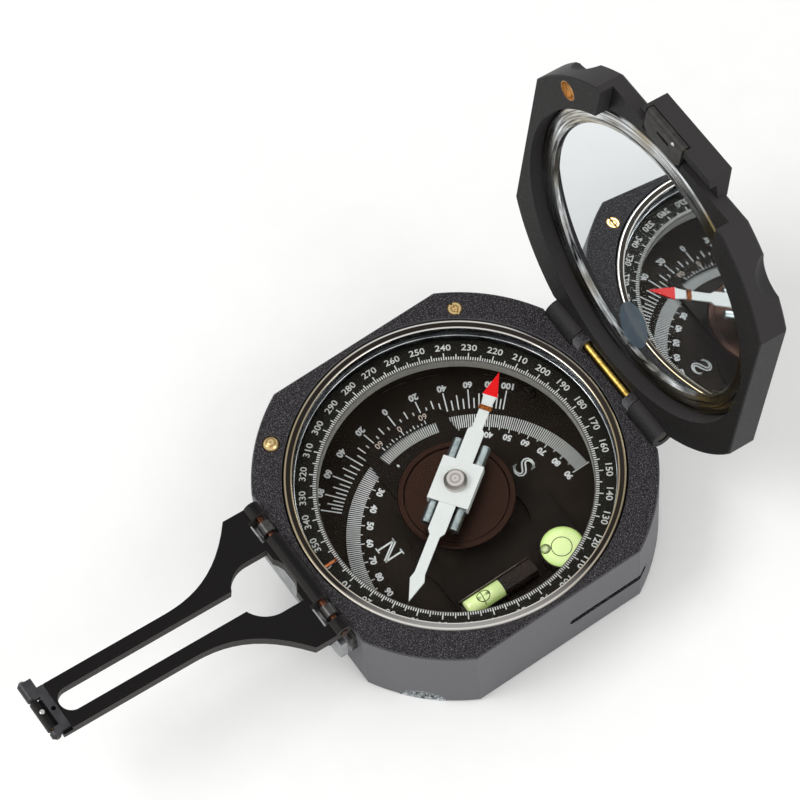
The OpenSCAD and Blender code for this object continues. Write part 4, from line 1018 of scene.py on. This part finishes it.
class TRANSIT_OT_levels(bpy.types.Operator):
    """Fills the two levels and gives them bubbles and index lines"""

    bl_idname = "transit.levels"
    bl_label = "Levels"

    def execute(self, context):
        hue = context.scene.transit_colours
        green, deep = hue.spirit_green, linear("#bedb7c")
        # Black-brown lacquered housings: smooth and semi-gloss, so their edges show as light lines
        housing = grained("semi-gloss black lacquer", linear("#1f1713"), linear("#2b201a"), 3.0, 0.3,
                (0.2, 0.34), 0.0, specular=0.2)
        dress(housing, "round_level_cup")
        # Cradle: the tube lies open between a high inner wall and a low outer one, and its far
        # end goes into a bevelled housing
        upright = Matrix.Rotation(math.pi / 2, 4, "X")
        block = [(18.7, 5.9), (22.6, 5.9), (22.6, 8.0), (22.1, 8.6), (19.2, 8.6), (18.7, 8.2)]
        tray = [moved(plate(block, -4, 3.9), upright)]
        for x0, x1, y0, y1, top in (
            (18.7, 18.88, -12.8, -3.9, 8.6),
            (22.42, 22.6, -12.8, -3.9, 7.4),
            (18.88, 22.42, -12.8, -12.05, 7.4),
        ):
            tray.append(plate([(x0, y0), (x1, y0), (x1, y1), (x0, y1)], 5.9, top))
        cradle = make_piece("tube_level_tray", tray, housing, "clinometer")
        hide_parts("tube_level_cradle")
        tube = turned([(0, -12), (1.6, -12), (TUBE_RADIUS, -11.85), (TUBE_RADIUS, -3.9), (0, -3.9)], 40)
        tube = moved(moved(tube, Matrix.Rotation(-math.pi / 2, 4, "X")),
                Matrix.Translation((TUBE_X, 0, TUBE_Z)))
        spirit = dyed_spirit("dyed spirit in the tube", green, deep, (TUBE_X, -8, TUBE_Z), (1, 0, 0),
                TUBE_RADIUS)
        vial = make_piece("tube_level_glass", [tube], spirit, "clinometer", smooth=True)
        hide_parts("tube_level_vial")
        spirit = dyed_spirit("dyed spirit in the round level", green, deep, (ROUND_X, ROUND_Y, 0),
                (1, 1, 0), ROUND_RADIUS)
        rise = [(r, dome_height(r)) for r in (ROUND_RADIUS * i / 8 for i in range(8, -1, -1))]
        dome = moved(turned([(0, 6.5), (3.85, 6.5), (3.85, 8.9), (ROUND_RADIUS, 8.9), *rise], 56),
                     Matrix.Translation((ROUND_X, ROUND_Y, 0)))
        lens = make_piece("round_level_dome", [dome], spirit, "clinometer", smooth=True)
        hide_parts("round_level_glass")
        # Lines fired into the glass: dark olive against the spirit
        ink = grained("fired olive line", linear("#4d5a2b"), linear("#39431f"), 1.0, 0.2, (0.3, 0.4), 0.0)
        # The air bubble: paler than the spirit, with a wet highlight
        air = grained("air bubble", linear("#e4f6b8"), linear("#d5eda0"), 1.0, 0.4, (0.05, 0.1), 0.0,
                specular=0.6)
        # On the tube: a line across the middle, and a ring round the bubble
        line = [on_tube(-1.9 + 3.8 * i / 20, TUBE_MIDDLE - 0.4 * i / 20) for i in range(21)]
        ring = [on_tube(1.15 * math.cos(a), TUBE_MIDDLE + 1.35 * math.sin(a)) for a in angles(36)]
        make_piece("tube_level_marks", [swept(line, 0.09), swept(ring, 0.1, closed=True)], ink,
                "clinometer", smooth=True)
        rim = [on_tube(1.13 * math.cos(a), TUBE_MIDDLE + 1.33 * math.sin(a)) for a in angles(36)]
        bubble = lens_on(rim, on_tube(0, TUBE_MIDDLE, 0.03), on_tube(0, TUBE_MIDDLE, -0.3))
        make_piece("tube_level_bubble", [bubble], air, "clinometer", smooth=True)
        # On the round level: a circle, and a bubble that lies off centre, as the case isn't quite
        # level in the photograph
        circle = circle_on_round(ROUND_X, 10.45, 2.05, 64)
        bubble_x, bubble_y = 19.5, 7.6
        edge = circle_on_round(bubble_x, bubble_y, 0.98, 40)
        centre_dot = circle_on_round(bubble_x, bubble_y, 0.5, 24)
        make_piece("round_level_marks", [swept(circle, 0.09, closed=True), swept(edge, 0.08, closed=True)],
                ink, "clinometer", smooth=True)
        bubble = lens_on(edge, on_round(bubble_x, bubble_y, 0.04), on_round(bubble_x, bubble_y, -0.3))
        make_piece("round_level_bubble", [bubble, swept(centre_dot, 0.04, closed=True)], air, "clinometer",
                smooth=True)
        # Painted highlight: a thin light line along the housing's edge
        rubbed = grained("painted highlight line", linear("#a79c8e"), linear("#6b6256"), 1.2, 0.2, (0.3, 0.5), 0.0,
                metallic=0.8)
        line = [(18.72, y, 8.58) for y in (-12.6, -4.0, 3.9)]
        make_piece("tube_housing_highlight", [swept(line, 0.07)], rubbed, "clinometer", smooth=True)
        return {"FINISHED"}


class TRANSIT_OT_arm(bpy.types.Operator):
    """Finishes the sighting arm, its bracket, its leaves and its rivet"""

    bl_idname = "transit.arm"
    bl_label = "Sighting arm"

    def execute(self, context):
        hue = context.scene.transit_colours
        # Aluminium arm sprayed satin black: smooth, with a grey sheen painted into the colour of its
        # rounded sides, and painted glints on top
        satin = wrinkle_paint("satin black paint", hue.arm_black, shades(hue.arm_black, 2.2),
                linear("#3f3d3b"), (0, 0.128, 0.992), 0.12, 0.1)
        dress(satin, "sighting_arm")
        # Bracket stove-enamelled black over the metal: dark and glossy, with lighter worn places
        clamp = grained("black enamelled bracket", linear("#1a1817"), linear("#3a3836"), 2.4, 0.2,
                (0.15, 0.3), 0.1, specular=0.4)
        dress(clamp, "arm_bracket", "bracket_screw_1", "bracket_screw_2")
        # Nickel-silver spring leaf: light grey, dulled by handling
        leaf = grained("dull nickel silver", linear("#a2a4a6"), linear("#808285"), 3.0, 0.15, (0.3, 0.42),
                0.12, metallic=1.0)
        dress(leaf, "arm_detent_spring")
        # Dark anodised aluminium leaf at the tip: matt, grey where the light runs along it
        tip = grained("dark anodised tip leaf", linear("#3c3c3f"), linear("#2c2b2d"), 1.6, 0.15,
                (0.3, 0.45), 0.1, metallic=0.3, specular=0.3)
        dress(tip, "arm_sight")
        # Steel rivet, its head spun over: a small bright dome that catches the lamp
        bright = turned_metal("bright rivet", linear("#d9d9d6"), linear("#8f8f8b"), 0.3, (0.15, 0.3), 0.2)
        dome = turned([(0, 0.14), (0.3, 0.12), (0.48, 0.06), (0.55, 0), (0, 0)], 20)
        rivet = moved(dome, RAISED_ARM @ Matrix.Translation((-0.5, -57.3, 0.42)))
        make_piece("arm_tip_rivet", [rivet], bright, "arm", smooth=True)
        return {"FINISHED"}


class TRANSIT_OT_lid(bpy.types.Operator):
    """Finishes the lid, mirror, window and sight leaf, with the sight line and the rivet"""

    bl_idname = "transit.lid"
    bl_label = "Lid and mirror"

    def execute(self, context):
        hue = context.scene.transit_colours
        # Painted light in the lid's paint: #403e40 is painted glints, and #363435 is painted sheen on the
        # side faces
        paint = wrinkle_paint("black wrinkle paint on the lid", hue.lid_black, linear("#403e40"),
                linear("#363435"), LID_UP, least=0.45)
        dress(paint, "lid_shell")
        dress(silvered_glass(linear("#e9edef")), "lid_mirror")
        turn = math.radians(LID_TURN)
        back = Matrix.Rotation(turn, 4, "X")
        shift = (LID_HINGE - back @ LID_HINGE) * MM
        # The chrome ring's near-black and brass tones are painted reflections
        ring = brushed_ring(linear("#eef1f2"), linear("#a3936a"), linear("#141516"), turn, tuple(shift))
        dress(ring, "mirror_ring")
        dress(half_clear((0.55, 0.6, 0.65, 1), linear("#56646f")), "sight_window")
        # Brass that the lift pin rubs at each closing: warm yellow, with scuffed reddish patches
        brass = grained("rubbed brass pad", linear("#dcb47a"), linear("#9c7444"), 0.9, 0.2, (0.3, 0.5), 0.2,
                metallic=0.7)
        dress(brass, "lid_pad")
        sleeve = turned([(1.95, 20.8), (2.09, 20.8), (2.09, 21.8), (1.95, 21.8)], 40, ring=True)
        make_piece("pad_sleeve", [sleeve], brass, "lid",
                place=OPEN_LID @ Matrix.Translation((*LIFT_PIN, 0)))
        # Dark anodised aluminium: matt charcoal that hardly shines
        leaf = grained("dark anodised leaf", linear("#3b3a38"), linear("#2a2928"), 2.0, 0.2, (0.4, 0.55),
                0.1, metallic=0.2, specular=0.2)
        dress(leaf, "lid_sight")
        # The sight line, inked black under the window: flat and without a gleam
        line = ribbon([(0.8, 27.5), (0.85, 31.0)], 0.3, 23.5, 23.56)
        ink = grained("black sight line", linear("#151414"), linear("#222020"), 1.0, 0.3, (0.4, 0.5), 0.0)
        make_piece("mirror_sight_line", [line], ink, "lid", place=OPEN_LID)
        # Steel rivet of the leaf: the same small bright dome
        bright = turned_metal("bright lid rivet", linear("#dcdcd8"), linear("#8f8f8b"), 0.3, (0.15, 0.3),
                0.2)
        dome = turned([(0, -0.3), (0.28, -0.26), (0.46, -0.12), (0.5, 0), (0, 0)], 20)
        make_piece("leaf_rivet", [moved(dome, OPEN_LID @ Matrix.Translation((0.16, -38.2, 23.62)))], bright,
                "lid_peep", smooth=True)
        return {"FINISHED"}


class TRANSIT_OT_stage(bpy.types.Operator):
    """Adds the floor, the world, the lamps and the camera"""

    bl_idname = "transit.stage"
    bl_label = "Stage"

    def execute(self, context):
        scene = context.scene
        scene.view_settings.view_transform = "Standard"
        world = bpy.data.worlds.new("plain surround")
        world.use_nodes = True
        tree = world.node_tree
        tree.nodes.clear()
        seen = seen_directly(tree)
        soft = add_node(tree, "Background", None, {"Color": (1, 1, 1, 1), "Strength": 0.68})
        white = add_node(tree, "Background", None, {"Color": (1, 1, 1, 1), "Strength": 1.0})
        both = add_node(tree, "MixShader", None, {0: seen, 1: soft, 2: white})
        add_node(tree, "OutputWorld", None, {"Surface": both})
        scene.world = world

        # Matt white board: the light in the shader is only what the camera, metal and glass see,
        # so the board reads white where nothing shades it and still shows the shadow
        board, tree = new_material("matt white board")
        place = add_node(tree, "TexCoord")
        tooth = add_node(tree, "TexNoise", None,
                {"Vector": place.outputs["Object"], "Scale": per_mm(6), "Detail": 3.0})
        tone = add_node(tree, "Mix", {"data_type": "RGBA"},
                {"Factor": tooth, "A": linear("#eeeeec"), "B": linear("#f3f3f2")})
        seen = seen_directly(tree)
        lift = add_node(tree, "Math", {"operation": "MULTIPLY"}, {0: seen, 1: 0.12})
        matt = add_node(tree, "BsdfDiffuse", None, {"Color": tone})
        light = add_node(tree, "Emission", None, {"Color": (1, 1, 1, 1), "Strength": lift})
        both = add_node(tree, "AddShader", None, {0: matt, 1: light})
        finish_material(board, tree, both)
        mesh = bpy.data.meshes.new("floor")
        # The floor lies a tenth of a millimetre low, so that it never touches the case's foot
        reach, drop = 4, -0.0001
        corners = [(x * reach, y * reach, drop) for x, y in ((-1, -1), (1, -1), (1, 1), (-1, 1))]
        mesh.from_pydata(corners, [], [(0, 1, 2, 3)])
        mesh.materials.append(board)
        floor = bpy.data.objects.new("floor", mesh)
        scene.collection.objects.link(floor)

        lit_point = Vector((0, 0, 0.02))
        for name, place, watts, width in (
            ("key lamp", (-0.35, -0.75, 1.1), 7.0, 0.7),
            ("fill lamp", (0.9, 0.35, 0.8), 3.0, 0.8),
        ):
            lamp = bpy.data.lights.new(name, "AREA")
            lamp.shape, lamp.size, lamp.energy = "DISK", width, watts
            holder = bpy.data.objects.new(name, lamp)
            holder.location = place
            holder.rotation_mode = "QUATERNION"
            holder.rotation_quaternion = (Vector(place) - lit_point).to_track_quat("Z", "Y")
            scene.collection.objects.link(holder)

        # Where the camera fitted to the photograph stands: its angles, the point on the floor's
        # plane that it aims at and its distance from that point, in millimetres
        azimuth, elevation, roll = (math.radians(a) for a in (61.042, 63.072, -6.287))
        aim, distance = Vector((-28.326, 5.284, 0)), 775.751
        back = Vector((math.sin(azimuth) * math.cos(elevation), -math.cos(azimuth) * math.cos(elevation),
                math.sin(elevation)))
        level = Vector((math.cos(azimuth), math.sin(azimuth), 0))
        above = back.cross(level)
        right = math.cos(roll) * level + math.sin(roll) * above
        up = math.cos(roll) * above - math.sin(roll) * level
        lens = bpy.data.cameras.new("camera")
        lens.lens, lens.sensor_width, lens.clip_start, lens.clip_end = 171.69, 36.0, 0.01, 20.0
        camera = bpy.data.objects.new("camera", lens)
        turn = Matrix((right, up, back)).transposed().to_4x4()
        camera.matrix_world = Matrix.Translation(aim * MM + back * distance * MM) @ turn
        scene.collection.objects.link(camera)
        scene.camera = camera
        return {"FINISHED"}


class TRANSIT_PT_sidebar(bpy.types.Panel):
    """Offers each group's operator and the values that a user can change"""

    bl_idname = "TRANSIT_PT_sidebar"
    bl_label = "Pocket transit"
    bl_space_type = "VIEW_3D"
    bl_region_type = "UI"
    bl_category = "Transit"

    def draw(self, context):
        for operator in OPERATORS:
            self.layout.operator(operator.bl_idname)
        for group in (context.scene.transit_sizes, context.scene.transit_colours):
            box = self.layout.box()
            for name in group.__annotations__:
                box.prop(group, name)


OPERATORS = (
    TRANSIT_OT_case,
    TRANSIT_OT_glass,
    TRANSIT_OT_ring,
    TRANSIT_OT_dial,
    TRANSIT_OT_clinometer,
    TRANSIT_OT_cup,
    TRANSIT_OT_needle,
    TRANSIT_OT_levels,
    TRANSIT_OT_arm,
    TRANSIT_OT_lid,
    TRANSIT_OT_stage,
)
CLASSES = (TransitSizes, TransitColours, *OPERATORS, TRANSIT_PT_sidebar)


def register():
    for cls in CLASSES:
        bpy.utils.register_class(cls)
    bpy.types.Scene.transit_sizes = bpy.props.PointerProperty(type=TransitSizes)
    bpy.types.Scene.transit_colours = bpy.props.PointerProperty(type=TransitColours)


def unregister():
    del bpy.types.Scene.transit_colours
    del bpy.types.Scene.transit_sizes
    for cls in reversed(CLASSES):
        bpy.utils.unregister_class(cls)


def main():
    register()
    for operator in OPERATORS:
        group, name = operator.bl_idname.split(".")
        getattr(getattr(bpy.ops, group), name)()


if __name__ == "__main__":
    main()
